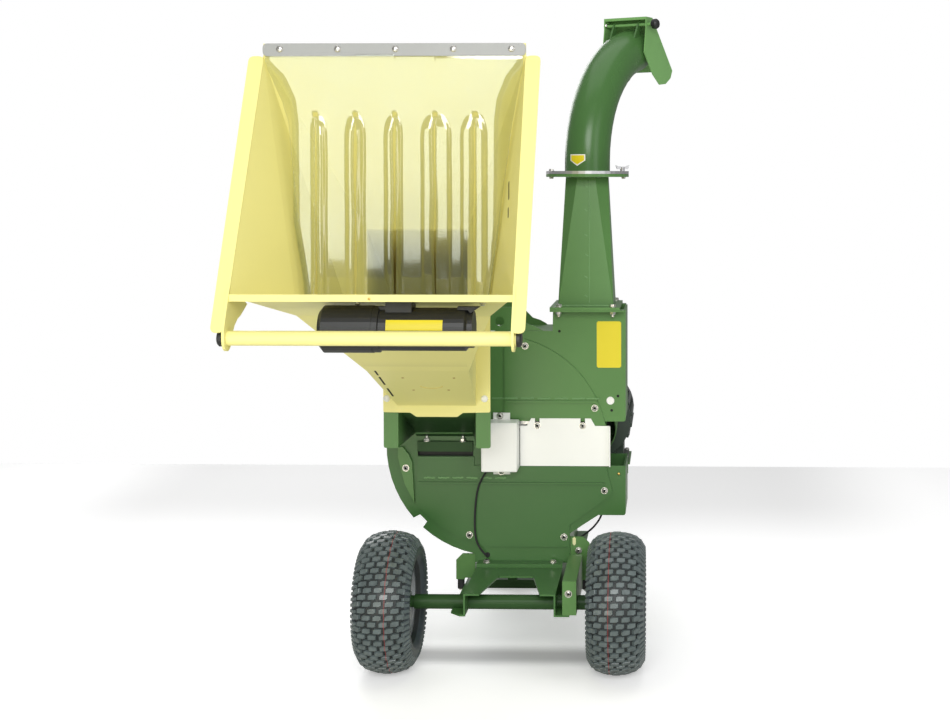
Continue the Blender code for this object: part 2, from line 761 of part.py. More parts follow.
def make_upper_casing():
    """The upper half of the rotor housing, open below and up into the discharge tower."""
    outline = casing_top_outline()
    shell = plate("XZ", outline, CASING_FRONT, CASING_REAR)
    inner = inset(outline, SHEET)
    low = LOWER_TOP
    left = ROTOR_X - CASING_RADIUS + SHEET
    roof = [point for point in inner if point[1] > 0.72]
    right = CASING_RIGHT - SHEET
    hollow = [(left, low), (right, low), *[(u, v) for u, v in roof]]
    shell = cut(shell, plate("XZ", hollow, CASING_FRONT + SHEET, CASING_REAR - SHEET))
    shell = cut(shell, infeed_window(CASING_FRONT - 0.01, CASING_FRONT + SHEET + 0.01))
    tower_hole = box(
        (DISCHARGE_LEFT + SHEET, CASING_FRONT + SHEET, 0.95),
        (CASING_RIGHT - SHEET, CASING_REAR - SHEET, 1.10)
    )
    flange = box(
        (TOWER_X - TOWER_FLANGE_WIDTH / 2, TOWER_FLANGE_FRONT, NECK_TOP - FLANGE_THICKNESS),
        (TOWER_X + TOWER_FLANGE_WIDTH / 2 + 0.012, TOWER_FLANGE_REAR, NECK_TOP),
    )
    rear_lug = plate("XZ", eye_outline(UPPER_TOP - 0.002), CASING_REAR - SHEET, CASING_REAR - 0.001)
    eye = rod((EYE_X, CASING_REAR - 0.03, EYE_Z), (EYE_X, CASING_REAR + 0.03, EYE_Z), EYE_DIAMETER / 2, 24)
    shell = weld(shell, flange, cut(rear_lug, eye))
    finish("upper_casing", cut(shell, tower_hole), GREEN)


def make_face_plates():
    """The thick wear plates bolted on the front of both casing halves, each with a bent ledge."""
    centre = (ROTOR_X, ROTOR_Z)
    left = OPENING_LEFT + 0.001
    sweep = arc(centre, LOWER_FACE_RADIUS, 214.5, 256.0, 8)
    boss = arc((0.2856, 0.480), 0.024, -55.0, 25.0, 4)
    neck = NECK_RIGHT - 0.0005
    low = ROTOR_Z - 0.3105
    step = NECK_LEFT - 0.002
    lower = [
        *sweep, (NECK_LEFT + 0.026, low), (neck, low), (neck, 0.374), *boss,
        (0.2905, LOWER_TOP - GAP), (step, LOWER_TOP - GAP), (step, RECESS_BOTTOM - 0.001),
        (left, RECESS_BOTTOM - 0.001),
    ]
    face = plate("XZ", lower, FACE_FRONT, CASING_FRONT - GAP)
    ledge = box((left + 0.002, FACE_FRONT - LEDGE_DEPTH, 0.500), (0.286, FACE_FRONT + 0.002, 0.506))
    hole = rod((ROTOR_X, 0.2, ROTOR_Z), (ROTOR_X, 0.3, ROTOR_Z), SHAFT_DIAMETER / 2 + 0.02)
    finish("lower_face_plate", cut(weld(face, ledge), hole), GREEN)

    sweep = arc(centre, UPPER_FACE_RADIUS, 14.7, 84.0, 12)
    bottom = 0.6815
    upper = [
        (INFEED_INNER_RIGHT + 0.052, 0.704), (0.243, 0.704), (0.256, bottom), (0.2905, bottom),
        *sweep, (INFEED_INNER_RIGHT + 0.052, ROTOR_Z + UPPER_FACE_RADIUS),
    ]
    face = plate("XZ", upper, FACE_FRONT, CASING_FRONT - GAP)
    ledge = box(
        (INFEED_INNER_RIGHT + 0.056, FACE_FRONT - LEDGE_DEPTH, 0.752), (0.262, FACE_FRONT + 0.002, 0.758)
    )
    finish("upper_face_plate", weld(face, ledge), GREEN)


def make_gusset():
    """The small stiffener beside the infeed on the lower casing."""
    outline = [
        (-0.351, 0.614), (-0.336, 0.614), (-0.319, 0.592), (-0.308, 0.568), (-0.301, 0.442),
        (-0.331, 0.500), (-0.352, 0.584),
    ]
    gusset = plate("XZ", list(reversed(outline)), CASING_FRONT - 0.012, CASING_FRONT - GAP)
    finish("infeed_gusset", gusset, GREEN)


def make_access_cover():
    """The white slotted plate over the gap between the casing halves."""
    left, right = COVER_LEFT, COVER_LEFT + COVER_WIDTH
    front = FACE_FRONT - GAP - THIN_SHEET
    top = 0.6810
    bottom = LOWER_TOP + GAP
    tab = COVER_TAB_LEFT + COVER_TAB_WIDTH
    slot_w = 0.007
    outline = [
        (left, bottom), (right, bottom), (right, top), (tab + 0.013, top),
        (tab, top + COVER_TAB_HEIGHT - 0.001),
    ]
    for centre in (0.219, 0.079):
        outline += [
            (centre + slot_w, top + COVER_TAB_HEIGHT - 0.001), (centre + slot_w, top - 0.004),
            (centre, top - 0.010), (centre - slot_w, top - 0.004),
            (centre - slot_w, top + COVER_TAB_HEIGHT - 0.001),
        ]
    outline += [(COVER_TAB_LEFT, top + COVER_TAB_HEIGHT - 0.001), (COVER_TAB_LEFT - 0.013, top), (left, top)]
    cover = plate("XZ", outline, front, front + THIN_SHEET)
    edge = box((right - 0.002, front, bottom), (right + 0.016, front + THIN_SHEET, top))
    turn = box((right + 0.013, front - COVER_GRIP, bottom), (right + 0.016, front + 0.001, top))
    body_empty("access_cover", Vector((left + COVER_WIDTH / 2, front, top)))
    finish("access_cover", weld(cover, edge, turn), WHITE, "access_cover")


def make_bearing_box():
    """The white box over the front bearing, open at the back, with a bolted tab above and below."""
    left = BOX_MIDDLE_X - BOX_WIDTH / 2
    right = BOX_MIDDLE_X + BOX_WIDTH / 2
    rear = FACE_FRONT - GAP
    front = rear - BOX_DEPTH
    bottom = ROTOR_Z - BOX_HEIGHT / 2 + BOX_RISE
    top = bottom + BOX_HEIGHT
    shell = box((left, front, bottom), (right, rear, top), bevel=0.004)
    wall = THIN_SHEET
    hollow = box((left + wall, front + wall, bottom + wall), (right - wall, rear + 0.01, top - wall))
    tab = box(
        (BOX_MIDDLE_X - BOX_TAB_WIDTH / 2, rear - wall, top - wall - 0.001),
        (BOX_MIDDLE_X + BOX_TAB_WIDTH / 2, rear, top + BOX_TAB_HEIGHT),
    )
    toe = box(
        (BOX_MIDDLE_X - BOX_TAB_WIDTH / 2, rear - wall, bottom - BOX_TAB_HEIGHT),
        (BOX_MIDDLE_X + BOX_TAB_WIDTH / 2, rear, bottom + wall + 0.001),
    )
    finish("bearing_box", cut(weld(shell, tab, toe), hollow), WHITE)


def make_bearings():
    """Flange bearings that carry the rotor shaft on the front and the back of the casing."""
    bore = SHAFT_DIAMETER / 2 + GAP
    outer = BEARING_DIAMETER / 2
    ring = BEARING_DIAMETER / 2 - 0.006
    profile = [
        (outer, 0.0), (outer, 0.012), (ring, 0.016), (ring, BEARING_LENGTH), (bore, BEARING_LENGTH),
        (bore, 0.0),
    ]
    front = turned(profile, (ROTOR_X, CASING_FRONT - GAP, ROTOR_Z), (0, -1, 0), 28, closed=True)
    finish("front_bearing", front, IRON, smooth=True)
    rear = turned(profile, (ROTOR_X, CASING_REAR + GAP, ROTOR_Z), (0, 1, 0), 28, closed=True)
    finish("rear_bearing", rear, IRON, smooth=True)


def make_rotor():
    """The heavy disc with its knives, fan paddles and shaft."""
    disc_front = CASING_FRONT + DISC_SETBACK
    disc_rear = disc_front + DISC_THICKNESS
    body_empty("rotor", Vector((ROTOR_X, disc_front, ROTOR_Z)))
    start = (ROTOR_X, disc_front, ROTOR_Z)
    bore = SHAFT_DIAMETER / 2 + GAP
    profile = [
        (DISC_RADIUS, 0.0), (DISC_RADIUS, DISC_THICKNESS), (0.055, DISC_THICKNESS),
        (0.055, DISC_THICKNESS + 0.035), (bore, DISC_THICKNESS + 0.035), (bore, 0.0),
    ]
    disc = turned(profile, start, (0, 1, 0), 48, closed=True)
    for index in range(4):
        turn = Matrix.Rotation(math.radians(90.0 * index + 20.0), 4, "Y")
        paddle = box(
            (DISC_RADIUS - PADDLE_LENGTH, DISC_THICKNESS - 0.002, -0.004),
            (DISC_RADIUS - 0.004, DISC_THICKNESS + PADDLE_DEPTH, 0.004),
        )
        paddle.data.transform(Matrix.Translation(start) @ turn)
        disc = weld(disc, paddle)
    finish("rotor_disc", disc, IRON, "rotor")

    for index, name in enumerate(("knife_a", "knife_b")):
        edge = 0.007
        outline = [
            (0.0, 0.0), (KNIFE_WIDTH, 0.0), (KNIFE_WIDTH - edge, -KNIFE_THICKNESS), (0.0, -KNIFE_THICKNESS),
        ]
        blade = plate("YZ", [(v, u) for u, v in outline], 0.090, 0.090 + KNIFE_LENGTH)
        turn = Matrix.Rotation(math.radians(180.0 * index + 150.0), 4, "Y")
        seat = Matrix.Translation(Vector(start) - Vector((0.0, GAP, 0.0)))
        blade.data.transform(seat @ turn)
        finish(name, blade, STEEL, "rotor")

    front_end = CASING_FRONT - GAP - BEARING_LENGTH - 0.010
    rear_end = PULLEY_FRONT + PULLEY_WIDTH + 0.012
    radius = SHAFT_DIAMETER / 2
    profile = [
        (0.0, 0.0), (radius - 0.002, 0.0), (radius, 0.002), (radius, rear_end - front_end - 0.002),
        (radius - 0.002, rear_end - front_end), (0.0, rear_end - front_end),
    ]
    shaft = turned(profile, (ROTOR_X, front_end, ROTOR_Z), (0, 1, 0), 24)
    finish("rotor_shaft", shaft, STEEL, "rotor", smooth=True)


def make_anvil():
    """The counter-knife bar that the knives pass, in the recess under the infeed."""
    low = (OPENING_LEFT + GAP, CASING_FRONT - 0.012, RECESS_BOTTOM + 0.016)
    high = (
        OPENING_LEFT + OPENING_WIDTH - GAP, CASING_FRONT + 0.007, RECESS_BOTTOM + RECESS_HEIGHT - GAP,
    )
    finish("anvil", box(low, high), STEEL)


# Infeed and hopper


def ring_plate(outer, inner, start, end):
    return plate("XZ", outer, start, end, holes=[inner])


def loft(front, back):
    """Side faces between two rings of equal length, as an open surface."""
    count = len(front)
    faces = []
    for index in range(count):
        after = (index + 1) % count
        faces.append((index, after, count + after, count + index))
    mesh = bpy.data.meshes.new("loft")
    mesh.from_pydata([*front, *back], [], faces)
    return mesh


def shell_from(mesh, thickness, offset):
    """A sheet of one thickness on an open surface: offset 1 outside it, -1 inside."""
    item = link("shell", mesh)
    work = bmesh.new()
    work.from_mesh(mesh)
    bmesh.ops.recalc_face_normals(work, faces=work.faces)
    work.to_mesh(mesh)
    work.free()
    thick = item.modifiers.new("Solidify", "SOLIDIFY")
    thick.thickness = thickness
    thick.offset = offset
    thick.use_even_offset = True
    return bake(item)


def rectangle(left, right, bottom, top):
    return [(left, bottom), (right, bottom), (right, top), (left, top)]


def make_infeed():
    """The green tunnel from the hopper to the disc, with an arched flange at its front."""
    wall = THIN_SHEET + 0.001
    rear = CASING_FRONT - GAP
    left, right = OPENING_LEFT, OPENING_LEFT + OPENING_WIDTH
    top = OPENING_BOTTOM + OPENING_HEIGHT
    narrow = [(left, OPENING_BOTTOM), (right, OPENING_BOTTOM), (right, top), (left, top)]
    wide = rectangle(INFEED_INNER_LEFT, INFEED_INNER_RIGHT, INFEED_FLOOR_FRONT, INFEED_TOP)
    rings = []
    for place in (INFEED_FRONT - 0.005, rear + 0.005):
        share = (place - INFEED_FRONT) / (rear - INFEED_FRONT)
        rings.append([
            (a[0] + (b[0] - a[0]) * share, place, a[1] + (b[1] - a[1]) * share) for a, b in zip(wide, narrow)
        ])
    tunnel = shell_from(loft(*rings), wall, 1.0)
    ends = []
    for low, high in ((INFEED_FRONT - 0.05, INFEED_FRONT + 0.001), (rear, rear + 0.05)):
        ends.append(box((-0.5, low, 0.5), (0.2, high, 1.3)))
    tunnel = cut(tunnel, *ends)
    outer_left = HOPPER_X - THROAT_FLANGE_WIDTH / 2
    outer_right = HOPPER_X + THROAT_FLANGE_WIDTH / 2
    top = INFEED_TOP + 0.042
    arch = [
        (outer_left, INFEED_LEG_BOTTOM), (INFEED_INNER_LEFT, INFEED_LEG_BOTTOM),
        (INFEED_INNER_LEFT, INFEED_TOP), (INFEED_INNER_RIGHT, INFEED_TOP),
        (INFEED_INNER_RIGHT, INFEED_LEG_BOTTOM), (outer_right, INFEED_LEG_BOTTOM),
        (outer_right, top), (outer_left, top),
    ]
    flange = plate("XZ", round_corners(arch, 0.006, 2), INFEED_FRONT, INFEED_FRONT + SHEET)
    cheeks = []
    for inner, seat, side in ((INFEED_INNER_LEFT, left, -1), (INFEED_INNER_RIGHT, right, 1)):
        skirt = [
            (INFEED_FRONT + 0.002, INFEED_LEG_BOTTOM + 0.002), (rear, INFEED_LEG_BOTTOM + 0.002),
            (rear, OPENING_BOTTOM + 0.15), (INFEED_FRONT + 0.002, INFEED_FLOOR_FRONT + 0.05),
        ]
        cheek = plate("YZ", skirt, 0.0, wall)
        lean = (seat - inner) / (rear - INFEED_FRONT)
        for vertex in cheek.data.vertices:
            shift = inner + lean * (vertex.co.y - INFEED_FRONT)
            vertex.co.x = shift + (vertex.co.x if side > 0 else vertex.co.x - wall)
        cheeks.append(cheek)
    finish("infeed_tunnel", weld(tunnel, flange, *cheeks), GREEN)


def make_hopper():
    """The folded hopper: a wide leaning mouth, a throat and the flange that bolts to the infeed."""
    half = MOUTH_WIDTH / 2
    bend = BEND_WIDTH / 2
    throat = THROAT_WIDTH / 2
    outlet = OUTLET_WIDTH / 2
    end = INFEED_FRONT - GAP - 0.0025
    corners = {
        "mouth_top": (half, MOUTH_TOP_Y, MOUTH_TOP_Z), "lip": (half, LIP_Y, LIP_Z),
        "bend": (bend, BEND_Y, BEND_Z), "throat_low": (throat, THROAT_FRONT, THROAT_BOTTOM),
        "throat_high": (throat, THROAT_FRONT, THROAT_TOP), "outlet_low": (outlet, end, OUTLET_BOTTOM),
        "outlet_high": (outlet, end, OUTLET_TOP),
    }
    names = list(corners)
    points = []
    for side in (-1, 1):
        points += [(HOPPER_X + side * x, y, z) for x, y, z in corners.values()]

    def at(name, side):
        return names.index(name) + (len(names) if side > 0 else 0)

    walls = []
    for side in (-1, 1):
        for ring in (
            ("mouth_top", "lip", "bend"), ("mouth_top", "bend", "throat_low"),
            ("mouth_top", "throat_low", "throat_high"),
            ("throat_high", "throat_low", "outlet_low"), ("throat_high", "outlet_low", "outlet_high"),
        ):
            walls.append(tuple(at(name, side) for name in (ring if side < 0 else reversed(ring))))
    for first, second in (
        ("lip", "bend"), ("bend", "throat_low"), ("throat_low", "outlet_low"),
        ("outlet_high", "throat_high"), ("throat_high", "mouth_top"),
    ):
        walls.append((at(first, -1), at(first, 1), at(second, 1), at(second, -1)))
    mesh = bpy.data.meshes.new("hopper")
    mesh.from_pydata(points, [], walls)
    funnel = shell_from(mesh, THIN_SHEET, 1.0)
    pieces = [lip_fold(), top_flange(), throat_flange()]
    pieces += [mouth_strip(side) for side in (-1, 1)]
    pieces += [handle_lobe(side) for side in (-1, 1)]
    finish("hopper", weld(funnel, *pieces), CREAM)


def lip_fold():
    half = MOUTH_WIDTH / 2 + THIN_SHEET
    return box(
        (HOPPER_X - half, LIP_Y - THIN_SHEET, LIP_Z - LIP_FOLD), (HOPPER_X + half, LIP_Y + 0.001, LIP_Z)
    )


def top_flange():
    half = MOUTH_WIDTH / 2
    return box(
        (HOPPER_X - half, MOUTH_TOP_Y, MOUTH_TOP_Z - 0.001),
        (HOPPER_X + half, MOUTH_TOP_Y + THIN_SHEET, MOUTH_TOP_Z + CLAMP_HEIGHT),
    )


def throat_flange():
    """The bolted flange at the outlet, with a tab at the middle of its lower edge."""
    half = THROAT_FLANGE_WIDTH / 2
    tab = THROAT_TAB_WIDTH / 2
    outline = [
        (HOPPER_X - half, THROAT_FLANGE_BOTTOM + 0.001), (HOPPER_X - tab - 0.018, THROAT_FLANGE_BOTTOM),
        (HOPPER_X - tab, THROAT_TAB_BOTTOM), (HOPPER_X + tab, THROAT_TAB_BOTTOM),
        (HOPPER_X + tab + 0.018, THROAT_FLANGE_BOTTOM), (HOPPER_X + half, THROAT_FLANGE_BOTTOM + 0.001),
        (HOPPER_X + half, INFEED_TOP + 0.040), (HOPPER_X - half, INFEED_TOP + 0.040),
    ]
    outlet = OUTLET_WIDTH / 2 + 0.001
    hole = rectangle(HOPPER_X - outlet, HOPPER_X + outlet, OUTLET_BOTTOM - 0.001, OUTLET_TOP + 0.001)
    rear = INFEED_FRONT - GAP
    return ring_plate(round_corners(outline, 0.005, 2), hole, rear - SHEET + 0.001, rear)


def mouth_strip(side):
    """The stiffening strip along one side of the mouth, in the plane of the mouth."""
    low = Vector((LIP_Y, LIP_Z))
    high = Vector((MOUTH_TOP_Y, MOUTH_TOP_Z))
    slope = (high - low).normalized()
    start = -(LIP_Z - HANDLE_Z - 0.016) / slope.y
    stop = (high - low).length + 0.002
    inner = -0.001
    outline = round_corners(
        [(inner, start), (MOUTH_FLANGE_LOW, start), (MOUTH_FLANGE, stop), (inner, stop)], 0.014, 4
    )
    strip = plate("XY", outline if side > 0 else [(-u, v) for u, v in reversed(outline)], 0.0, THIN_SHEET)
    edge = HOPPER_X + side * (MOUTH_WIDTH / 2)
    normal = Vector((slope.y, -slope.x))
    placing = Matrix((
        (1, 0, 0, edge), (0, slope.x, normal.x, low.x), (0, slope.y, normal.y, low.y), (0, 0, 0, 1),
    ))
    strip.data.transform(placing)
    tidy_faces(strip)
    return strip


def handle_lobe(side):
    """The lobe of one side wall that reaches down and forwards to hold the handle bar."""
    edge = HOPPER_X + side * (MOUTH_WIDTH / 2 + THIN_SHEET / 2)
    lobe = arc((HANDLE_Y, HANDLE_Z), LOBE_RADIUS, 190.0, 330.0, 7)
    sweep = arc((-0.865, 1.030), 0.095, 158.0, 96.0, 4)
    back = [(-0.822, 1.146), (-0.850, 1.157)]
    outline = [*lobe, *sweep, *back, (LIP_Y + 0.012, LIP_Z + 0.024), (LIP_Y - 0.004, LIP_Z)]
    outline = [*outline, (HANDLE_Y - LOBE_RADIUS, HANDLE_Z + 0.02)]
    hole = circle((HANDLE_Y, HANDLE_Z), HANDLE_DIAMETER / 2 + GAP)
    return plate("YZ", outline, edge - THIN_SHEET, edge + THIN_SHEET, holes=[hole])


def make_handle():
    """The long bar between the lobes, with a plastic cap on each end."""
    reach = MOUTH_WIDTH / 2 + 2 * THIN_SHEET + 0.002
    bar = rod(
        (HOPPER_X - reach, HANDLE_Y, HANDLE_Z), (HOPPER_X + reach, HANDLE_Y, HANDLE_Z), HANDLE_DIAMETER / 2,
        24
    )
    finish("handle_bar", bar, CREAM, smooth=True)
    radius = HANDLE_CAP_DIAMETER / 2
    for side, name in ((-1, "left"), (1, "right")):
        start = (HOPPER_X + side * (reach + GAP), HANDLE_Y, HANDLE_Z)
        length = HANDLE_CAP_LENGTH
        profile = [
            (0.0, 0.0), (radius - 0.001, 0.0), (radius, 0.001), (radius, length - 0.004),
            (radius - 0.004, length), (0.0, length),
        ]
        cap = turned(profile, start, (side, 0, 0), 24)
        finish("handle_cap_" + name, cap, BLACK, smooth=True)


def make_curtain():
    """The slit curtain, here flat, and the strip that clamps it to the top of the mouth."""
    half = MOUTH_WIDTH / 2 - 0.004
    low = CURTAIN_BOTTOM_WIDTH / 2
    top = MOUTH_TOP_Z + CLAMP_HEIGHT
    bottom = top - CURTAIN_LENGTH
    front = MOUTH_TOP_Y - CURTAIN_THICKNESS - GAP
    outline = [(HOPPER_X + half, top), (HOPPER_X - half, top), (HOPPER_X - low, bottom)]
    for index in range(CURTAIN_SLITS):
        middle = HOPPER_X + (2 * low) * ((index + 1) / (CURTAIN_SLITS + 1) - 0.5)
        slit = CURTAIN_SLIT_WIDTH / 2
        high = bottom + CURTAIN_SLIT_LENGTH
        outline += [(middle - slit, bottom), (middle - slit, high), (middle, high + 2 * slit)]
        outline += [(middle + slit, high), (middle + slit, bottom)]
    outline.append((HOPPER_X + low, bottom))
    sheet = plate("XZ", outline, front, front + CURTAIN_THICKNESS)
    finish("curtain", sheet, CLEAR)
    reach = MOUTH_WIDTH / 2
    strip = round_corners(
        rectangle(HOPPER_X - reach, HOPPER_X + reach, MOUTH_TOP_Z + 0.001, top), 0.012, 4
    )
    clamp = plate("XZ", strip, front - GAP - CLAMP_THICKNESS, front - GAP)
    finish("curtain_clamp", clamp, ZINC)


def make_manual_tube():
    """The tube for papers under the hopper, its screw cap and the saddle that carries it."""
    outer = MANUAL_DIAMETER / 2
    inner = outer - MANUAL_WALL
    body = MANUAL_LENGTH - MANUAL_CAP_LENGTH
    neck = 0.045
    start = MANUAL_LEFT + MANUAL_CAP_LENGTH
    profile = [
        (outer - 0.004, -neck), (outer - 0.004, 0.0), (outer + 0.004, 0.0), (outer + 0.004, 0.014),
        (outer, 0.016), (outer, body - 0.018), (outer - 0.007, body - 0.012), (outer - 0.007, body),
        (0.0, body), (0.0, body - MANUAL_WALL), (inner - 0.007, body - MANUAL_WALL),
        (inner - 0.007, body - 0.020), (inner - 0.004, body - 0.030), (inner - 0.004, -neck),
    ]
    tube = turned(profile, (start, MANUAL_Y, MANUAL_Z), (1, 0, 0), 32, closed=True)
    finish("manual_tube", tube, BLACK, smooth=True)
    body_empty("manual_cap", Vector((start, MANUAL_Y, MANUAL_Z)))
    radius = MANUAL_CAP_DIAMETER / 2
    length = MANUAL_CAP_LENGTH - GAP
    hollow = outer - 0.004 + GAP
    profile = [
        (radius, 0.0), (radius, length - 0.010), (radius - 0.012, length), (0.0, length),
        (0.0, length - 0.006), (hollow, length - 0.006), (hollow, 0.0),
    ]
    cap = turned(profile, (start - GAP, MANUAL_Y, MANUAL_Z), (-1, 0, 0), 32, closed=True)
    finish("manual_tube_cap", cap, BLACK, "manual_cap", smooth=True)

    slope = (LIP_Z - BEND_Z) / (BEND_Y - LIP_Y)
    low, high = MANUAL_Y - 0.030, MANUAL_Y + 0.030
    under = THIN_SHEET / math.cos(math.atan(slope)) + 2 * GAP
    rest = [(y, LIP_Z - slope * (y - LIP_Y) - under) for y in (high, low)]
    bow = arc((MANUAL_Y, MANUAL_Z), outer + GAP, 125.0, 55.0, 8)
    saddle = plate("YZ", [*bow, *rest], start + 0.030, start + 0.030 + MANUAL_BRACKET_WIDTH)
    finish("manual_tube_saddle", saddle, ZINC)


# Discharge tower and chute


def octagon(width, height):
    """Eight corners with flats square to X and Y, from the right flat's front end round."""
    radius = width / 2 / math.cos(math.radians(22.5))
    ring = []
    for index in range(8):
        angle = math.radians(-22.5 + 45.0 * index)
        ring.append((TOWER_X + radius * math.cos(angle), TOWER_Y + radius * math.sin(angle), height))
    return ring


def tower_mesh(grow):
    """Four flat sides and four corner folds between the square foot and the octagon."""
    half_x = TOWER_BASE_WIDTH / 2 + grow
    half_y = TOWER_BASE_DEPTH / 2 + grow
    base_z = NECK_TOP + GAP + 0.001
    foot = [
        (TOWER_X + sx * half_x, TOWER_Y + sy * half_y, base_z)
        for sx, sy in ((1, -1), (1, 1), (-1, 1), (-1, -1))
    ]
    top = octagon(TOWER_TOP_WIDTH + 2 * grow, TOWER_TOP_Z)
    faces = []
    for index in range(4):
        after = (index + 1) % 4
        first = 4 + 2 * index
        second = first + 1
        third = 4 + (2 * index + 2) % 8
        faces.append((index, after, second, first))
        faces.append((after, third, second))
    mesh = bpy.data.meshes.new("tower")
    mesh.from_pydata([*foot, *top], [], faces)
    return mesh


def make_tower():
    """The tapered sheet tower with its bolted base flange."""
    body = shell_from(tower_mesh(0.0), THIN_SHEET, -1.0)
    low = NECK_TOP + GAP
    half = TOWER_FLANGE_WIDTH / 2
    inner_x = TOWER_BASE_WIDTH / 2 - 0.001
    inner_y = TOWER_BASE_DEPTH / 2 - 0.001
    outer = [
        (TOWER_X - half, TOWER_FLANGE_FRONT), (TOWER_X + half, TOWER_FLANGE_FRONT),
        (TOWER_X + half, TOWER_FLANGE_REAR), (TOWER_X - half, TOWER_FLANGE_REAR),
    ]
    hole = [
        (TOWER_X - inner_x, TOWER_Y - inner_y), (TOWER_X + inner_x, TOWER_Y - inner_y),
        (TOWER_X + inner_x, TOWER_Y + inner_y), (TOWER_X - inner_x, TOWER_Y + inner_y),
    ]
    flange = plate("XY", outer, low, low + 2 * FLANGE_THICKNESS, holes=[hole])
    finish("discharge_tower", weld(flange, body), GREEN)


def washer(height, thickness, bore):
    profile = [(RING_DIAMETER / 2, 0.0), (RING_DIAMETER / 2, thickness), (bore, thickness), (bore, 0.0)]
    return turned(profile, (TOWER_X, TOWER_Y, height), (0, 0, 1), 40, closed=True)


def chute_point(angle, radius_offset=0.0):
    """A place on the chute's bend: angle turned so far, offset outwards from the middle line."""
    turn = math.radians(angle)
    start = Vector((TOWER_X, TOWER_Y, RING_TOP + CHUTE_STRAIGHT))
    centre = start + HEADING * CHUTE_BEND_RADIUS
    reach = CHUTE_BEND_RADIUS + radius_offset
    return centre - HEADING * (reach * math.cos(turn)) + UP * (reach * math.sin(turn))


def hinge_place():
    return chute_point(CHUTE_BEND_ANGLE - 1.0, CHUTE_DIAMETER / 2 + 0.016)


def make_chute():
    """The green tube that turns on the tower, with the white ring at its foot."""
    body_empty("chute", Vector((TOWER_X, TOWER_Y, RING_BOTTOM + RING_THICKNESS)))
    low = RING_BOTTOM + RING_THICKNESS + GAP
    lower = washer(RING_BOTTOM, RING_THICKNESS, TOWER_TOP_WIDTH / 2 - 0.004)
    finish("swivel_ring_lower", lower, GREEN, smooth=True)
    upper = washer(low, RING_THICKNESS, CHUTE_DIAMETER / 2 - 0.008)
    finish("swivel_ring_upper", upper, WHITE, "chute", smooth=True)
    path = [Vector((TOWER_X, TOWER_Y, RING_TOP + GAP))]
    steps = 12
    path += [chute_point(CHUTE_BEND_ANGLE * step / steps) for step in range(steps + 1)]
    path.append(path[-1] + (path[-1] - path[-2]).normalized() * 0.012)
    curve = bpy.data.curves.new("chute", "CURVE")
    curve.dimensions = "3D"
    curve.bevel_depth = CHUTE_DIAMETER / 2 - THIN_SHEET
    curve.bevel_resolution = 10
    spline = curve.splines.new("POLY")
    spline.points.add(len(path) - 1)
    for spot, place in zip(spline.points, path):
        spot.co = (*place, 1.0)
    pipe = bake(link("chute", curve))
    thick = pipe.modifiers.new("Solidify", "SOLIDIFY")
    thick.thickness = THIN_SHEET
    thick.offset = 1.0
    pipe = bake(pipe)
    finish("chute_bend", weld(pipe, *chute_ears()), GREEN, "chute", smooth=True)


def oriented(item, place):
    """Move a piece drawn along the heading, across and up axes to its place on the chute."""
    axes = Matrix((
        (ACROSS.x, HEADING.x, 0, place.x), (ACROSS.y, HEADING.y, 0, place.y), (0, 0, 1, place.z),
        (0, 0, 0, 1),
    ))
    item.data.transform(axes)
    tidy_faces(item)
    return item


def chute_ears():
    """Two lugs on top of the chute's mouth that hold the deflector's pivot."""
    hinge = hinge_place()
    ears = []
    for side in (-1, 1):
        offset = side * EAR_SPACING / 2
        outline = [*arc((0, 0), 0.0095, 0.0, 180.0, 6), (-0.034, -0.045), (0.004, -0.035)]
        bore = circle((0, 0), PIVOT_DIAMETER / 2 + GAP, 12)
        ear = plate("YZ", outline, offset - SHEET / 2, offset + SHEET / 2, holes=[bore])
        ears.append(oriented(ear, hinge))
    return ears


def flap_point(along_plate, depth):
    """A place on the hood's side, from the hinge: down its back plate, and inwards from it."""
    tilt = math.radians(FLAP_TILT)
    down = Vector((math.sin(tilt), -math.cos(tilt)))
    inwards = Vector((-math.cos(tilt), -math.sin(tilt)))
    return Vector((0.030, 0.024)) + down * along_plate + inwards * depth


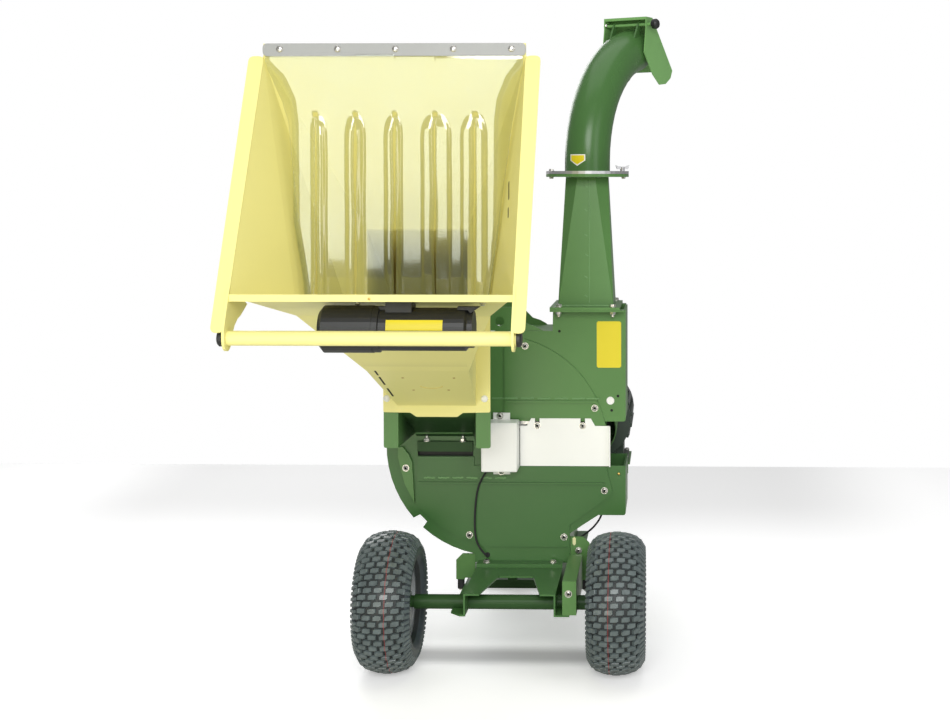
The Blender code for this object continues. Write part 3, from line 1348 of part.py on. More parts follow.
def make_deflector():
    """The hinged hood over the chute's mouth, its pivot bar and the knob that locks it."""
    hinge = hinge_place()
    body_empty("deflector", hinge)
    half = FLAP_WIDTH / 2
    tilt = math.radians(FLAP_TILT)
    wall = THIN_SHEET
    normal = Vector((math.cos(tilt), math.sin(tilt)))
    down = Vector((math.sin(tilt), -math.cos(tilt)))
    back = flap_point(0.0, 0.0)
    bar = rod((-half - 0.006, 0, 0), (half + 0.012, 0, 0), PIVOT_DIAMETER / 2, 12)
    low = FLAP_LENGTH
    side_shape = [
        Vector((-0.014, back.y)), Vector((-0.014, -0.014)), flap_point(0.051, FLAP_CHEEK),
        flap_point(0.142, FLAP_CHEEK), flap_point(0.197, 0.87 * FLAP_CHEEK),
        flap_point(0.222, 0.57 * FLAP_CHEEK),
        flap_point(0.230, 0.23 * FLAP_CHEEK), flap_point(low, 0.0), back,
    ]
    hood = plate("YZ", [tuple(point) for point in side_shape], -half, half)
    fold = back - normal * wall + down * (wall - normal.y * wall) / math.cos(tilt)
    lip = -0.014 + wall
    inside = [
        (-0.100, back.y - FLAP_LIP), (lip, back.y - FLAP_LIP), (lip, back.y - wall), tuple(fold),
        tuple(fold + down * (low + 0.05)), (-0.100, -0.300),
    ]
    hollow = plate("YZ", list(reversed(inside)), -half + wall, half - wall)
    flap = weld(cut(hood, hollow), bar)
    finish("deflector_flap", oriented(flap, hinge), GREEN, "deflector")

    knob_start = hinge + ACROSS * (half + 0.012 + GAP)
    body_empty("deflector_knob", knob_start)
    profile = [
        (0.0, 0.0), (0.008, 0.0), (0.008, 0.004), (0.016, 0.006), (0.017, 0.018), (0.013, 0.024),
        (0.0, 0.024),
    ]
    knob = turned(profile, knob_start, ACROSS, 20)
    lugs = box((-0.019, -0.004, 0.007), (0.019, 0.004, 0.017))
    lugs.data.transform(along(knob_start, ACROSS))
    finish("deflector_knob", weld(knob, lugs), BLACK, "deflector_knob", smooth=True)


def make_swivel_lever():
    """The wing-headed clamp bolt that holds the swivel rings together."""
    place = Vector((TOWER_X + RING_DIAMETER / 2 - 0.020, TOWER_Y, RING_TOP + GAP))
    body_empty("swivel_clamp", place)
    stem = rod(place, place + UP * 0.012, 0.007, 12)
    wing = plate(
        "XZ",
        [(-0.022, 0.018), (-0.018, 0.006), (0.018, 0.006), (0.022, 0.018), (0.008, 0.014), (-0.008, 0.014)],
        -0.003, 0.003,
    )
    wing.data.transform(Matrix.Translation(place) @ Matrix.Rotation(math.radians(20.0), 4, "Z"))
    finish("swivel_clamp", weld(stem, wing), ZINC, "swivel_clamp")


# Drive


def pulley(diameter, x, z, bore):
    """A two-groove pulley on a shaft along Y."""
    outer = diameter / 2
    bottom = outer - GROOVE_DEPTH
    profile = [(outer, 0.0)]
    for index in (-1, 1):
        middle = PULLEY_WIDTH / 2 + index * GROOVE_PITCH / 2
        top_half = GROOVE_WIDTH / 2
        low_half = GROOVE_WIDTH / 2 - 0.0015
        profile += [
            (outer, middle - top_half), (bottom, middle - low_half), (bottom, middle + low_half),
            (outer, middle + top_half),
        ]
    profile += [(outer, PULLEY_WIDTH), (bore, PULLEY_WIDTH), (bore, 0.0)]
    return turned(profile, (x, PULLEY_FRONT, z), (0, 1, 0), 28, closed=True)


def belt_loop(grow):
    """The path round both pulleys, counter-clockwise, moved outwards from the groove bottoms."""
    first = Vector((ROTOR_X, ROTOR_Z))
    second = Vector((MOTOR_X, MOTOR_Z))
    large = ROTOR_PULLEY_DIAMETER / 2 - GROOVE_DEPTH + grow
    small = MOTOR_PULLEY_DIAMETER / 2 - GROOVE_DEPTH + grow
    line = second - first
    heading = math.degrees(math.atan2(line.y, line.x))
    spread = math.degrees(math.acos((large - small) / line.length))
    right = arc(tuple(second), small, heading - spread, heading + spread, 12)
    left = arc(tuple(first), large, heading + spread, heading + 360.0 - spread, 14)
    return [*right, *left]


def make_drive():
    """Pulleys, belts and the guard that covers them."""
    finish(
        "rotor_pulley", pulley(ROTOR_PULLEY_DIAMETER, ROTOR_X, ROTOR_Z, SHAFT_DIAMETER / 2 + GAP), IRON,
        "rotor",
        smooth=True,
    )
    body_empty("motor", Vector((MOTOR_X, PULLEY_FRONT, MOTOR_Z)))
    finish(
        "motor_pulley", pulley(MOTOR_PULLEY_DIAMETER, MOTOR_X, MOTOR_Z, MOTOR_SHAFT_DIAMETER / 2 + GAP), IRON,
        "motor", smooth=True,
    )
    for index, name in ((-1, "belt_front"), (1, "belt_rear")):
        middle = PULLEY_FRONT + PULLEY_WIDTH / 2 + index * GROOVE_PITCH / 2
        loop = plate(
            "XZ", belt_loop(GAP * 2 + BELT_HEIGHT), middle - BELT_WIDTH / 2, middle + BELT_WIDTH / 2,
            holes=[belt_loop(GAP * 2)],
        )
        finish(name, loop, RUBBER)
    outer = belt_loop(GROOVE_DEPTH + GUARD_MARGIN)
    guard = plate("XZ", outer, CASING_REAR + GAP, GUARD_REAR)
    hollow = plate("XZ", inset(outer, THIN_SHEET), CASING_REAR - 0.01, GUARD_REAR - THIN_SHEET)
    port = rod(
        (MOTOR_X, GUARD_REAR - 0.02, MOTOR_Z), (MOTOR_X, GUARD_REAR + 0.02, MOTOR_Z),
        MOTOR_SHAFT_DIAMETER / 2 + 0.006
    )
    finish("belt_guard", cut(guard, hollow, port), GREEN)


def make_motor():
    """The finned electric motor, its fan cowl, terminal box, shaft and the stand under it."""
    axis = (0, 1, 0)
    ribs = []
    for index in range(MOTOR_FINS):
        step = 360.0 / MOTOR_FINS
        angle = step * (index + 0.5)
        for share, radius in ((-0.16, MOTOR_RADIUS), (0.16, MOTOR_RADIUS), (0.22, MOTOR_RADIUS - FIN_DEPTH),
                              (0.78, MOTOR_RADIUS - FIN_DEPTH)):
            turn = math.radians(angle + share * step)
            ribs.append((MOTOR_X + radius * math.cos(turn), MOTOR_Z + radius * math.sin(turn)))
    rear = MOTOR_FRONT + MOTOR_LENGTH
    housing = plate("XZ", ribs, MOTOR_FRONT + 0.030, rear - 0.012)
    bore = MOTOR_SHAFT_DIAMETER / 2 + GAP
    shield = MOTOR_RADIUS - 0.006
    front = [
        (0.060, 0.0), (0.066, 0.014), (shield, 0.024), (shield, 0.044), (bore, 0.044), (bore, 0.0),
    ]
    front_shield = turned(front, (MOTOR_X, MOTOR_FRONT, MOTOR_Z), axis, 32, closed=True)
    tail = [(0.0, -0.004), (shield, -0.004), (shield, 0.012), (0.0, 0.012)]
    rear_shield = turned(tail, (MOTOR_X, rear - 0.012, MOTOR_Z), axis, 32)
    ground = MOTOR_Z - MOTOR_SHAFT_HEIGHT
    feet = []
    for side in (-1, 1):
        place = MOTOR_X + side * 0.092
        feet.append(box(
            (place - 0.026, MOTOR_FRONT + 0.060, ground), (place + 0.026, rear - 0.050, ground + 0.014)
        ))
        feet.append(box(
            (place - 0.016, MOTOR_FRONT + 0.062, ground + 0.010),
            (place + 0.010, rear - 0.052, MOTOR_Z - 0.060)
        ))
    drill = rod(
        (MOTOR_X, MOTOR_FRONT - 0.01, MOTOR_Z), (MOTOR_X, MOTOR_FRONT + 0.090, MOTOR_Z), bore, 24
    )
    motor = cut(weld(housing, front_shield, rear_shield, *feet), drill)
    finish("motor_housing", motor, SILVER)

    cowl_radius = shield + GAP + THIN_SHEET
    start = rear - COWL_OVERLAP
    profile = [
        (cowl_radius, 0.0), (cowl_radius, COWL_LENGTH - 0.016), (cowl_radius - 0.016, COWL_LENGTH),
        (0.050, COWL_LENGTH), (0.050, COWL_LENGTH - THIN_SHEET),
        (cowl_radius - 0.018, COWL_LENGTH - THIN_SHEET),
        (cowl_radius - THIN_SHEET, COWL_LENGTH - 0.018), (cowl_radius - THIN_SHEET, 0.0),
    ]
    cowl = turned(profile, (MOTOR_X, start, MOTOR_Z), axis, 32, closed=True)
    finish("motor_fan_cowl", cowl, BLACK, smooth=True)

    shelf = MOTOR_Z + MOTOR_RADIUS + GAP
    terminal = box(
        (MOTOR_X - 0.055, MOTOR_FRONT + 0.070, shelf),
        (MOTOR_X + 0.055, MOTOR_FRONT + 0.180, shelf + 0.062), 0.005
    )
    finish("motor_terminal_box", terminal, BLACK)

    radius = MOTOR_SHAFT_DIAMETER / 2
    length = MOTOR_FRONT + 0.085 - PULLEY_FRONT
    profile = [(0.0, 0.0), (radius - 0.002, 0.0), (radius, 0.002), (radius, length), (0.0, length)]
    shaft = turned(profile, (MOTOR_X, PULLEY_FRONT - 0.003, MOTOR_Z), axis, 24)
    finish("motor_shaft", shaft, STEEL, "motor", smooth=True)

    top = ground - GAP
    low = DECK_TOP + GAP
    slab = box(
        (MOTOR_X - STAND_TOP_WIDTH / 2, MOTOR_FRONT + 0.040, top - SHEET),
        (MOTOR_X + STAND_TOP_WIDTH / 2, rear - 0.020, top),
    )
    base = box(
        (DECK_LEFT + 0.006, MOTOR_FRONT + 0.040, low), (DECK_RIGHT - 0.006, rear - 0.020, low + SHEET)
    )
    outline = [
        (DECK_LEFT + 0.012, low + 0.001), (DECK_RIGHT - 0.012, low + 0.001),
        (MOTOR_X + STAND_TOP_WIDTH / 2 - 0.006, top - SHEET - 0.030),
        (MOTOR_X + STAND_TOP_WIDTH / 2 - 0.006, top - 0.001),
        (MOTOR_X - STAND_TOP_WIDTH / 2 + 0.006, top - 0.001),
        (MOTOR_X - STAND_TOP_WIDTH / 2 + 0.006, top - SHEET - 0.030),
    ]
    sides = []
    for place in (MOTOR_FRONT + 0.046, rear - 0.032):
        sides.append(plate("XZ", outline, place, place + SHEET))
    finish("motor_stand", weld(slab, base, *sides), GREEN)


def make_switch():
    """The switch box on the back of the casing, with a start and a stop button."""
    seat = CASING_REAR + GAP
    half = SWITCH_WIDTH / 2
    low = SWITCH_Z - SWITCH_HEIGHT / 2
    case = box(
        (SWITCH_X - half, seat, low), (SWITCH_X + half, seat + SWITCH_DEPTH, low + SWITCH_HEIGHT), 0.006
    )
    face = seat + SWITCH_DEPTH
    depth = 0.012
    wells = []
    buttons = ((0.028, "start_button", GREEN_BUTTON), (-0.028, "stop_button", RED_BUTTON))
    for offset, name, finish_of_button in buttons:
        z = SWITCH_Z + offset
        well = rod((SWITCH_X, face - depth, z), (SWITCH_X, face + 0.01, z), BUTTON_DIAMETER / 2 + GAP, 20)
        wells.append(well)
        start = (SWITCH_X, face - depth + BUTTON_TRAVEL + GAP, z)
        body_empty(name, Vector(start))
        radius = BUTTON_DIAMETER / 2
        length = depth + 0.001
        profile = [
            (0.0, 0.0), (radius, 0.0), (radius, length - 0.002), (radius - 0.002, length), (0.0, length),
        ]
        finish(name, turned(profile, start, (0, 1, 0), 20), finish_of_button, name, smooth=True)
    finish("switch_box", cut(case, *wells), IRON)


# Leads, lifting eye


def make_leads():
    """Two short sensor leads that the casing holds at both ends, and the front one's grommet."""
    radius = 0.003
    front = FACE_FRONT - LEDGE_DEPTH - radius - 0.0012
    box_bottom = ROTOR_Z - BOX_HEIGHT / 2 + BOX_RISE
    seat = CASING_FRONT - 2 * GAP - GROMMET_HEIGHT
    route = [
        (-0.078, front - 0.012, box_bottom - GAP), (-0.078, front - 0.012, box_bottom - 0.010),
        (-0.088, front - 0.005, 0.524), (-0.102, front, 0.494), (-0.110, front, 0.450),
        (-0.1135, front, 0.400), (-0.113, front, 0.356), (-0.107, front, 0.322),
        (-0.094, front - 0.001, 0.299), (-0.080, front, 0.283), (-0.0764, front + 0.004, 0.2790),
    ]
    path = [*smooth_path(route, 34), Vector((-0.0764, seat, 0.2790))]
    finish("front_lead", bar_along(path, radius, 2), BLACK, smooth=True)
    start = (-0.0764, CASING_FRONT - GAP, 0.2790)
    rim = GROMMET_HEIGHT
    profile = [(0.0, 0.0), (0.008, 0.0), (0.008, rim - 0.0015), (0.0065, rim), (0.0, rim)]
    finish("lead_grommet", turned(profile, start, (0, -1, 0), 16), RUBBER, smooth=True)
    y = CASING_FRONT + 0.110
    route = [
        (0.2735, y, 0.404 - GAP), (0.2735, y, 0.390), (0.266, y, 0.368), (0.247, y, 0.342), (0.222, y, 0.320),
        (0.200, y, 0.304), (0.188, y, 0.2995), (NECK_RIGHT + GAP, y, 0.2995),
    ]
    finish("rear_lead", bar_along(smooth_path(route, 20), radius, 2), BLACK, smooth=True)


def eye_outline(foot):
    """One lifting lug seen from the front, its right end falling in a curve to the roof."""
    fall = [(0.0877, UPPER_TOP + 0.005), (0.0703, UPPER_TOP + 0.0145), (0.0457, UPPER_TOP + 0.0225)]
    top = [(-0.004, EYE_TOP), (-0.070, EYE_TOP), (-0.084, EYE_TOP - 0.012)]
    return [(-0.092, foot), (0.096, foot), *fall, *top]


def make_lifting_eye():
    """The pierced lug that carries on the casing's front wall, by which the machine is lifted."""
    front = CASING_FRONT + GAP
    outline = eye_outline(UPPER_TOP + GAP + 0.0005)
    lug = plate("XZ", outline, front, front + SHEET, holes=[circle((EYE_X, EYE_Z), EYE_DIAMETER / 2)])
    finish("lifting_eye", lug, GREEN)


make_wheels()
make_axle()
make_deck()
make_side_rail()
make_rear_stand()
make_side_brackets()
make_lower_casing()
make_upper_casing()
make_face_plates()
make_gusset()
make_access_cover()
make_bearing_box()
make_bearings()
make_rotor()
make_anvil()
make_infeed()
make_hopper()
make_handle()
make_curtain()
make_manual_tube()
make_tower()
make_chute()
make_deflector()
make_swivel_lever()
make_drive()
make_motor()
make_switch()
make_leads()
make_lifting_eye()

# The origin is the middle of the footprint, so the whole machine is moved by one empty
FRONT_REACH = HANDLE_Y - LOBE_RADIUS
REAR_REACH = MOTOR_FRONT + MOTOR_LENGTH - COWL_OVERLAP + COWL_LENGTH
LEFT_REACH = HOPPER_X - MOUTH_WIDTH / 2 - MOUTH_FLANGE
RIGHT_REACH = (hinge_place() + ACROSS * (FLAP_WIDTH / 2) + HEADING * flap_point(FLAP_LENGTH, 0.0).x).x
frame_root.location = (-(LEFT_REACH + RIGHT_REACH) / 2, -(FRONT_REACH + REAR_REACH) / 2, 0.0)
for carrier in joint_empties.values():
    carrier.parent = frame_root
bpy.context.view_layer.update()
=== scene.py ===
# %% [markdown]
# # A two-wheeled garden chipper, dressed on its CAD frame
#
# The machine is bent and welded sheet steel: a green casing with a steel disc inside, a cream hopper
# that leans towards the person who feeds it, and a chute that throws the chips away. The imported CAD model
# already holds every sheet, tube and bearing at its real size. What is missing is what the eye notices
# first: enamel that is not quite even, the clear curtain, bolts, weld beads and the lugs of the tyres.

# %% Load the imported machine
import math
import random
import bmesh
import bpy
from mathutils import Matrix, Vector
from mathutils.bvhtree import BVHTree


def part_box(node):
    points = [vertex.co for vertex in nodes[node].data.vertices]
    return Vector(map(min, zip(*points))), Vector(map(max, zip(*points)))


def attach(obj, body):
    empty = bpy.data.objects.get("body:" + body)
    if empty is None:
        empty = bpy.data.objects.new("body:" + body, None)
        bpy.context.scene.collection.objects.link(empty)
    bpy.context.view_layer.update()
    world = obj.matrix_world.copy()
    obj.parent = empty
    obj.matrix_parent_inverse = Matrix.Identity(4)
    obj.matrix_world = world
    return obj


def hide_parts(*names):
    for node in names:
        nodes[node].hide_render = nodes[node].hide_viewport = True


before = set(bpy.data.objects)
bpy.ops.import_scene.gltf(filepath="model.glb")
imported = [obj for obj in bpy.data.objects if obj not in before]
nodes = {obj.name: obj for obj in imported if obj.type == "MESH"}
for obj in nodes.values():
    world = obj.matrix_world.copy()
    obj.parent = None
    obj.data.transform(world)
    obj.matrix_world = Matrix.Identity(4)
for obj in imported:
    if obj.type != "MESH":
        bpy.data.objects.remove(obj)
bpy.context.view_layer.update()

axle_low, axle_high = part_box("axle")
AXLE = (axle_low + axle_high) / 2


def at(x, y, z):
    """A place given from the middle of the axle, on the ground."""
    return Vector((x + AXLE.x, y + AXLE.y, z))


# %% [markdown]
# ## Camera, floor and light
#
# The photograph was taken from in front of the hopper, a little to the right and at chest height, with a
# longish lens. Its uprights stay upright, as with a camera held level and a shifted lens. Part of that shift
# is made by turning the camera a little towards the machine, which moves no point by more than 3 pixels.
#
# The photograph's floor is a pale grey field that ends in a straight line behind the machine and fades to
# white towards the viewer. The floor's colour does that here, so that the machine still drops its shadow
# on it.

# %% Camera
FOCAL_PIXELS = 1456.5
FRAME_WIDTH = 950.0
SENSOR_WIDTH = 36.0
SHIFT_X = -0.170
SHIFT_Y = -0.160
EYE = at(0.4872, -4.2307, 1.4408)
YAW = math.radians(1.318)
PITCH = math.radians(1.14)

camera_data = bpy.data.cameras.new("camera")
camera_data.sensor_width = SENSOR_WIDTH
camera_data.lens = FOCAL_PIXELS / FRAME_WIDTH * SENSOR_WIDTH
camera_data.shift_x = SHIFT_X
camera_data.shift_y = SHIFT_Y
camera_data.clip_end = 60.0
camera = bpy.data.objects.new("camera", camera_data)
camera.location = EYE
camera.rotation_euler = (math.pi / 2 - PITCH, 0.0, YAW)
bpy.context.scene.collection.objects.link(camera)
bpy.context.scene.camera = camera
bpy.context.scene.view_settings.view_transform = "Standard"
print("lens", round(camera_data.lens, 1), "mm")


# %% A colour as the eye reads it
def srgb(red, green, blue):
    """Linear colour of a displayed one, each channel from 0 to 255."""
    channels = []
    for value in (red, green, blue):
        share = value / 255
        channels.append(share / 12.92 if share <= 0.04045 else ((share + 0.055) / 1.055) ** 2.4)
    return (*channels, 1.0)


print("mid grey in linear light", round(srgb(128, 128, 128)[0], 3))


# %% Nodes in few words
def start_material(name):
    """A new material with its node tree and its shader at hand."""
    material = bpy.data.materials.new(name)
    material.use_nodes = True
    tree = material.node_tree
    return material, tree, tree.nodes["Principled BSDF"]


def add(tree, kind, **values):
    """Add a node; names that are inputs are set as inputs, the others as properties."""
    node = tree.nodes.new(kind)
    for key, value in values.items():
        if key in node.inputs:
            node.inputs[key].default_value = value
        else:
            setattr(node, key, value)
    return node


def feed(tree, socket, value):
    """Give a socket a value, or link it to the socket that makes one."""
    if isinstance(value, bpy.types.NodeSocket):
        tree.links.new(value, socket)
    else:
        socket.default_value = value


def object_place(tree):
    """Where a shaded point lies in its object."""
    return add(tree, "ShaderNodeTexCoord").outputs["Object"]


def axes_of(tree, vector):
    """The node that takes a vector apart into X, Y and Z."""
    split = add(tree, "ShaderNodeSeparateXYZ")
    tree.links.new(vector, split.inputs[0])
    return split


def noise(tree, place, scale, detail, rough=0.5):
    """Fractal noise at a place, from 0 to 1."""
    node = add(tree, "ShaderNodeTexNoise", Scale=scale, Detail=detail, Roughness=rough)
    tree.links.new(place, node.inputs["Vector"])
    return node.outputs["Fac"]


def ranged(tree, value, low, high, at_low=0.0, at_high=1.0, soft_ends=False):
    """A value that goes from at_low to at_high while another goes from low to high."""
    node = add(tree, "ShaderNodeMapRange", **{"From Min": low, "From Max": high})
    node.inputs["To Min"].default_value = at_low
    node.inputs["To Max"].default_value = at_high
    if soft_ends:
        node.interpolation_type = "SMOOTHSTEP"
    tree.links.new(value, node.inputs["Value"])
    return node.outputs[0]


def arithmetic(tree, operation, first, second=None):
    """The result of one sum."""
    node = add(tree, "ShaderNodeMath", operation=operation)
    feed(tree, node.inputs[0], first)
    if second is not None:
        feed(tree, node.inputs[1], second)
    return node.outputs[0]


def distance_from(tree, value, middle):
    """How far a value is from a middle, on either side."""
    return arithmetic(tree, "ABSOLUTE", arithmetic(tree, "SUBTRACT", value, middle))


def mixed(tree, first, second, factor, blend="MIX"):
    """A colour between two others."""
    node = add(tree, "ShaderNodeMix", data_type="RGBA", blend_type=blend)
    feed(tree, node.inputs["Factor"], factor)
    feed(tree, node.inputs["A"], first)
    feed(tree, node.inputs["B"], second)
    return node.outputs["Result"]


def bump(tree, shader, height, strength, distance):
    """Relief on a shader, from a height."""
    node = add(tree, "ShaderNodeBump", Strength=strength, Distance=distance)
    tree.links.new(height, node.inputs["Height"])
    tree.links.new(node.outputs[0], shader.inputs["Normal"])


# %% The floor's grey field, and a painted shadow between the wheels
WHITE = (1.0, 1.0, 1.0, 1.0)
FLOOR_END = 3.05
GREY_FROM = 1.2
GREY_FULL = 2.3
GREY_MIDDLE = -0.37
GREY_HALF = 1.35
WHITE_HALF = 2.10
SHADE_RISE = (0.02, 0.12)
SHADE_FALL = (0.15, 0.26)
SHADE_SIDE = (0.27, 0.42)
SHADE_STRENGTH = 0.60


def grey_field(tree, axes):
    """Grey far behind the machine, white towards the viewer and to both sides."""
    depth = ranged(tree, axes.outputs["Y"], GREY_FROM + AXLE.y, GREY_FULL + AXLE.y, soft_ends=True)
    side = distance_from(tree, axes.outputs["X"], GREY_MIDDLE)
    return arithmetic(tree, "MULTIPLY", depth, ranged(tree, side, GREY_HALF, WHITE_HALF, 1.0, 0.0, True))


def painted_wheel_shadow(tree, axes):
    """A painted shadow: a soft dark band across the floor, just behind the axle."""
    depth = axes.outputs["Y"]
    rise = ranged(tree, depth, AXLE.y + SHADE_RISE[0], AXLE.y + SHADE_RISE[1], soft_ends=True)
    fall = ranged(tree, depth, AXLE.y + SHADE_FALL[0], AXLE.y + SHADE_FALL[1], 1.0, 0.0, True)
    side = distance_from(tree, axes.outputs["X"], 0.0)
    wide = ranged(tree, side, *SHADE_SIDE, SHADE_STRENGTH, 0.0, True)
    return arithmetic(tree, "MULTIPLY", arithmetic(tree, "MULTIPLY", rise, fall), wide)


# %% Floor
def floor_material():
    """The camera sees the grey field and its painted shadow, lifted a little; light bounces off one even,
    pale tone.
    """
    material, tree, shader = start_material("studio_floor")
    axes = axes_of(tree, object_place(tree))
    camera_ray = add(tree, "ShaderNodeLightPath").outputs["Is Camera Ray"]
    tone = mixed(tree, WHITE, srgb(224, 224, 224), grey_field(tree, axes))
    # The dark band mixed in here is a painted shadow between the wheels.
    shaded = mixed(tree, tone, srgb(92, 92, 92), painted_wheel_shadow(tree, axes))
    feed(tree, shader.inputs["Base Color"], mixed(tree, srgb(228, 229, 222), shaded, camera_ray))
    shader.inputs["Roughness"].default_value = 0.6
    lift = add(tree, "ShaderNodeEmission", Strength=0.36)
    dark = add(tree, "ShaderNodeEmission", Strength=0.0)
    seen = add(tree, "ShaderNodeMixShader")
    total = add(tree, "ShaderNodeAddShader")
    links = tree.links
    links.new(shaded, lift.inputs["Color"])
    links.new(camera_ray, seen.inputs[0])
    links.new(dark.outputs[0], seen.inputs[1])
    links.new(lift.outputs[0], seen.inputs[2])
    links.new(shader.outputs[0], total.inputs[0])
    links.new(seen.outputs[0], total.inputs[1])
    links.new(total.outputs[0], tree.nodes["Material Output"].inputs["Surface"])
    return material


REACH = 7.0
floor_end = FLOOR_END + AXLE.y
corners = [(-REACH, -REACH, 0), (REACH, -REACH, 0), (REACH, floor_end, 0), (-REACH, floor_end, 0)]
floor_mesh = bpy.data.meshes.new("floor")
floor_mesh.from_pydata(corners, [], [(0, 1, 2, 3)])
floor = bpy.data.objects.new("floor", floor_mesh)
bpy.context.scene.collection.objects.link(floor)
floor.data.materials.append(floor_material())
floor.location.z = -0.0005
print("floor ends", FLOOR_END, "m behind the axle")


# %% White surroundings
def studio_world():
    """White where the camera sees it, also through clear things; a weaker fill for everything else."""
    world = bpy.data.worlds.new("studio")
    world.use_nodes = True
    tree = world.node_tree
    fill = tree.nodes["Background"]
    fill.inputs["Color"].default_value = WHITE
    fill.inputs["Strength"].default_value = 0.30
    seen = add(tree, "ShaderNodeBackground", Strength=1.0, Color=WHITE)
    ray = add(tree, "ShaderNodeLightPath")
    mix = add(tree, "ShaderNodeMixShader")
    direct = arithmetic(tree, "MAXIMUM", ray.outputs["Is Camera Ray"], ray.outputs["Is Transmission Ray"])
    tree.links.new(direct, mix.inputs[0])
    tree.links.new(fill.outputs[0], mix.inputs[1])
    tree.links.new(seen.outputs[0], mix.inputs[2])
    tree.links.new(mix.outputs[0], tree.nodes["World Output"].inputs["Surface"])
    bpy.context.scene.world = world


studio_world()
print("the world is white")


# %% Soft lamps
def soft_lamp(name, place, target, width, height, power, colour=(1.0, 1.0, 1.0)):
    """A rectangular lamp that faces its target."""
    data = bpy.data.lights.new(name, "AREA")
    data.shape = "RECTANGLE"
    data.color = colour
    data.size = width
    data.size_y = height
    data.energy = power
    lamp = bpy.data.objects.new(name, data)
    lamp.location = place
    lamp.rotation_euler = (place - target).to_track_quat("Z", "Y").to_euler()
    bpy.context.scene.collection.objects.link(lamp)


PALE_GREEN = (0.94, 1.0, 0.90)
WARM = (1.0, 0.88, 0.70)
soft_lamp("curtain_softbox", at(-0.90, -4.30, 1.64), at(-0.90, 0.0, 1.64), 1.30, 1.24, 20.0, PALE_GREEN)
soft_lamp("high_front_softbox", at(0.75, -7.4, 3.9), at(0.0, 0.0, 1.0), 3.8, 2.8, 330.0)
soft_lamp("right_softbox", at(3.20, -2.60, 2.10), at(0.10, 0.0, 0.90), 1.6, 2.4, 26.0)
soft_lamp("top_softbox", at(0.0, 0.2, 4.60), at(0.0, 0.0, 0.6), 3.4, 3.4, 44.0)
soft_lamp("low_softbox", at(-0.9, -3.4, 0.12), at(-0.2, -0.3, 1.0), 1.6, 0.5, 17.0, WARM)
soft_lamp("back_softbox", at(-1.6, 3.6, 2.6), at(0.0, 0.3, 0.9), 2.4, 2.0, 45.0)
print("six lamps")

# %% [markdown]
# ## Enamel
#
# The casing and the hopper are sprayed with a thick, glossy enamel. Close up it is never one flat colour:
# the coat has a fine orange-peel ripple, it is a shade lighter where it lies thin, and dust dulls the gloss
# in large soft patches. All of that comes from noise on Object coordinates, so it stays fixed to the metal.

# %% Enamel
def enamel(name, colour, rough=0.30, vary=0.07, peel=0.05, dust=(120, 134, 104), film=0.06, level=0.32):
    """Sprayed enamel: vary is how uneven its colour is, peel its ripple, film the dust that lies on it."""
    material, tree, shader = start_material(name)
    place = object_place(tree)
    cloud = noise(tree, place, 2.6, 5.0, 0.6)
    speck = noise(tree, place, 70.0, 6.0, 0.75)
    shade = ranged(tree, cloud, 0.3, 0.7, 1.0 - vary, 1.0 + vary)
    coat = mixed(tree, colour, shade, 1.0, "MULTIPLY")
    dusty = mixed(tree, coat, srgb(*dust), ranged(tree, speck, 0.60, 0.80, 0.0, film))
    feed(tree, shader.inputs["Base Color"], dusty)
    feed(tree, shader.inputs["Roughness"], ranged(tree, cloud, 0.0, 1.0, rough - 0.06, rough + 0.10))
    bump(tree, shader, noise(tree, place, 420.0, 2.0), peel, 0.0006)
    shader.inputs["Specular IOR Level"].default_value = level
    return material


CREAM = {"colour": srgb(240, 232, 152), "rough": 0.36, "vary": 0.02, "dust": (214, 204, 142)}
green_enamel = enamel("green_enamel", srgb(88, 131, 72))
# A darker copy of the green enamel: painted shade on the lower casing, the lower face plate and the deck.
lower_green_painted_shade = enamel("lower_green_painted_shade", srgb(67, 109, 58))
# A lighter copy of the green enamel: painted light on the deflector flap.
flap_green_painted_light = enamel("flap_green_painted_light", srgb(122, 172, 102))
# A dark copy of the green enamel: painted shade on the rear stand, the axle and the anvil.
green_painted_shade = enamel("green_painted_shade", srgb(46, 78, 40), rough=0.4, level=0.2)
cream_enamel = enamel("cream_enamel", **CREAM)
white_enamel = enamel(
    "white_enamel", srgb(246, 246, 242), rough=0.36, vary=0.02, dust=(214, 214, 206), level=0.4
)
black_enamel = enamel(
    "black_enamel", srgb(42, 44, 46), rough=0.38, vary=0.12, dust=(80, 80, 76), level=0.5
)
motor_enamel = enamel(
    "motor_enamel", srgb(52, 66, 56), rough=0.34, vary=0.10, dust=(92, 98, 88), level=0.5
)
print("eight enamels")

# %% [markdown]
# ## A round chute
#
# The CAD tube is made of flat facets, and a gloss would show every one of them. The tube's middle line is a
# vertical run and an arc, so the true normal of the round tube is known at every place on it: it points
# away from the nearest place of that line. The shader works it out from Object coordinates and uses it
# wherever the facet lies close to it, so the tube's inside, its end and its two ears keep their own flat
# normals.

# %% Vectors in a material
def vector_math(tree, operation, first, second=None):
    """The result of one sum with vectors."""
    node = add(tree, "ShaderNodeVectorMath", operation=operation)
    feed(tree, node.inputs[0], first)
    if second is not None:
        feed(tree, node.inputs["Scale"] if operation == "SCALE" else node.inputs[1], second)
    return node.outputs["Value" if operation == "DOT_PRODUCT" else "Vector"]


def turned(tree, vector, angle):
    """A vector turned about the upright axis."""
    node = add(tree, "ShaderNodeVectorRotate", rotation_type="Z_AXIS", Angle=angle)
    tree.links.new(vector, node.inputs["Vector"])
    return node.outputs[0]


def vector_of(tree, x, y, z):
    """A vector put together from three values or sockets."""
    node = add(tree, "ShaderNodeCombineXYZ")
    for socket, value in zip(node.inputs, (x, y, z)):
        feed(tree, socket, value)
    return node.outputs[0]


# %% The true normal of a bent tube
TOWER_X = 0.2275
TOWER_Y = 0.347
CHUTE_FOOT = at(TOWER_X, TOWER_Y, 1.4956)
CHUTE_HEADING = math.radians(27.0)
CHUTE_BEND_RADIUS = 0.380
FACET_COSINE = 0.94


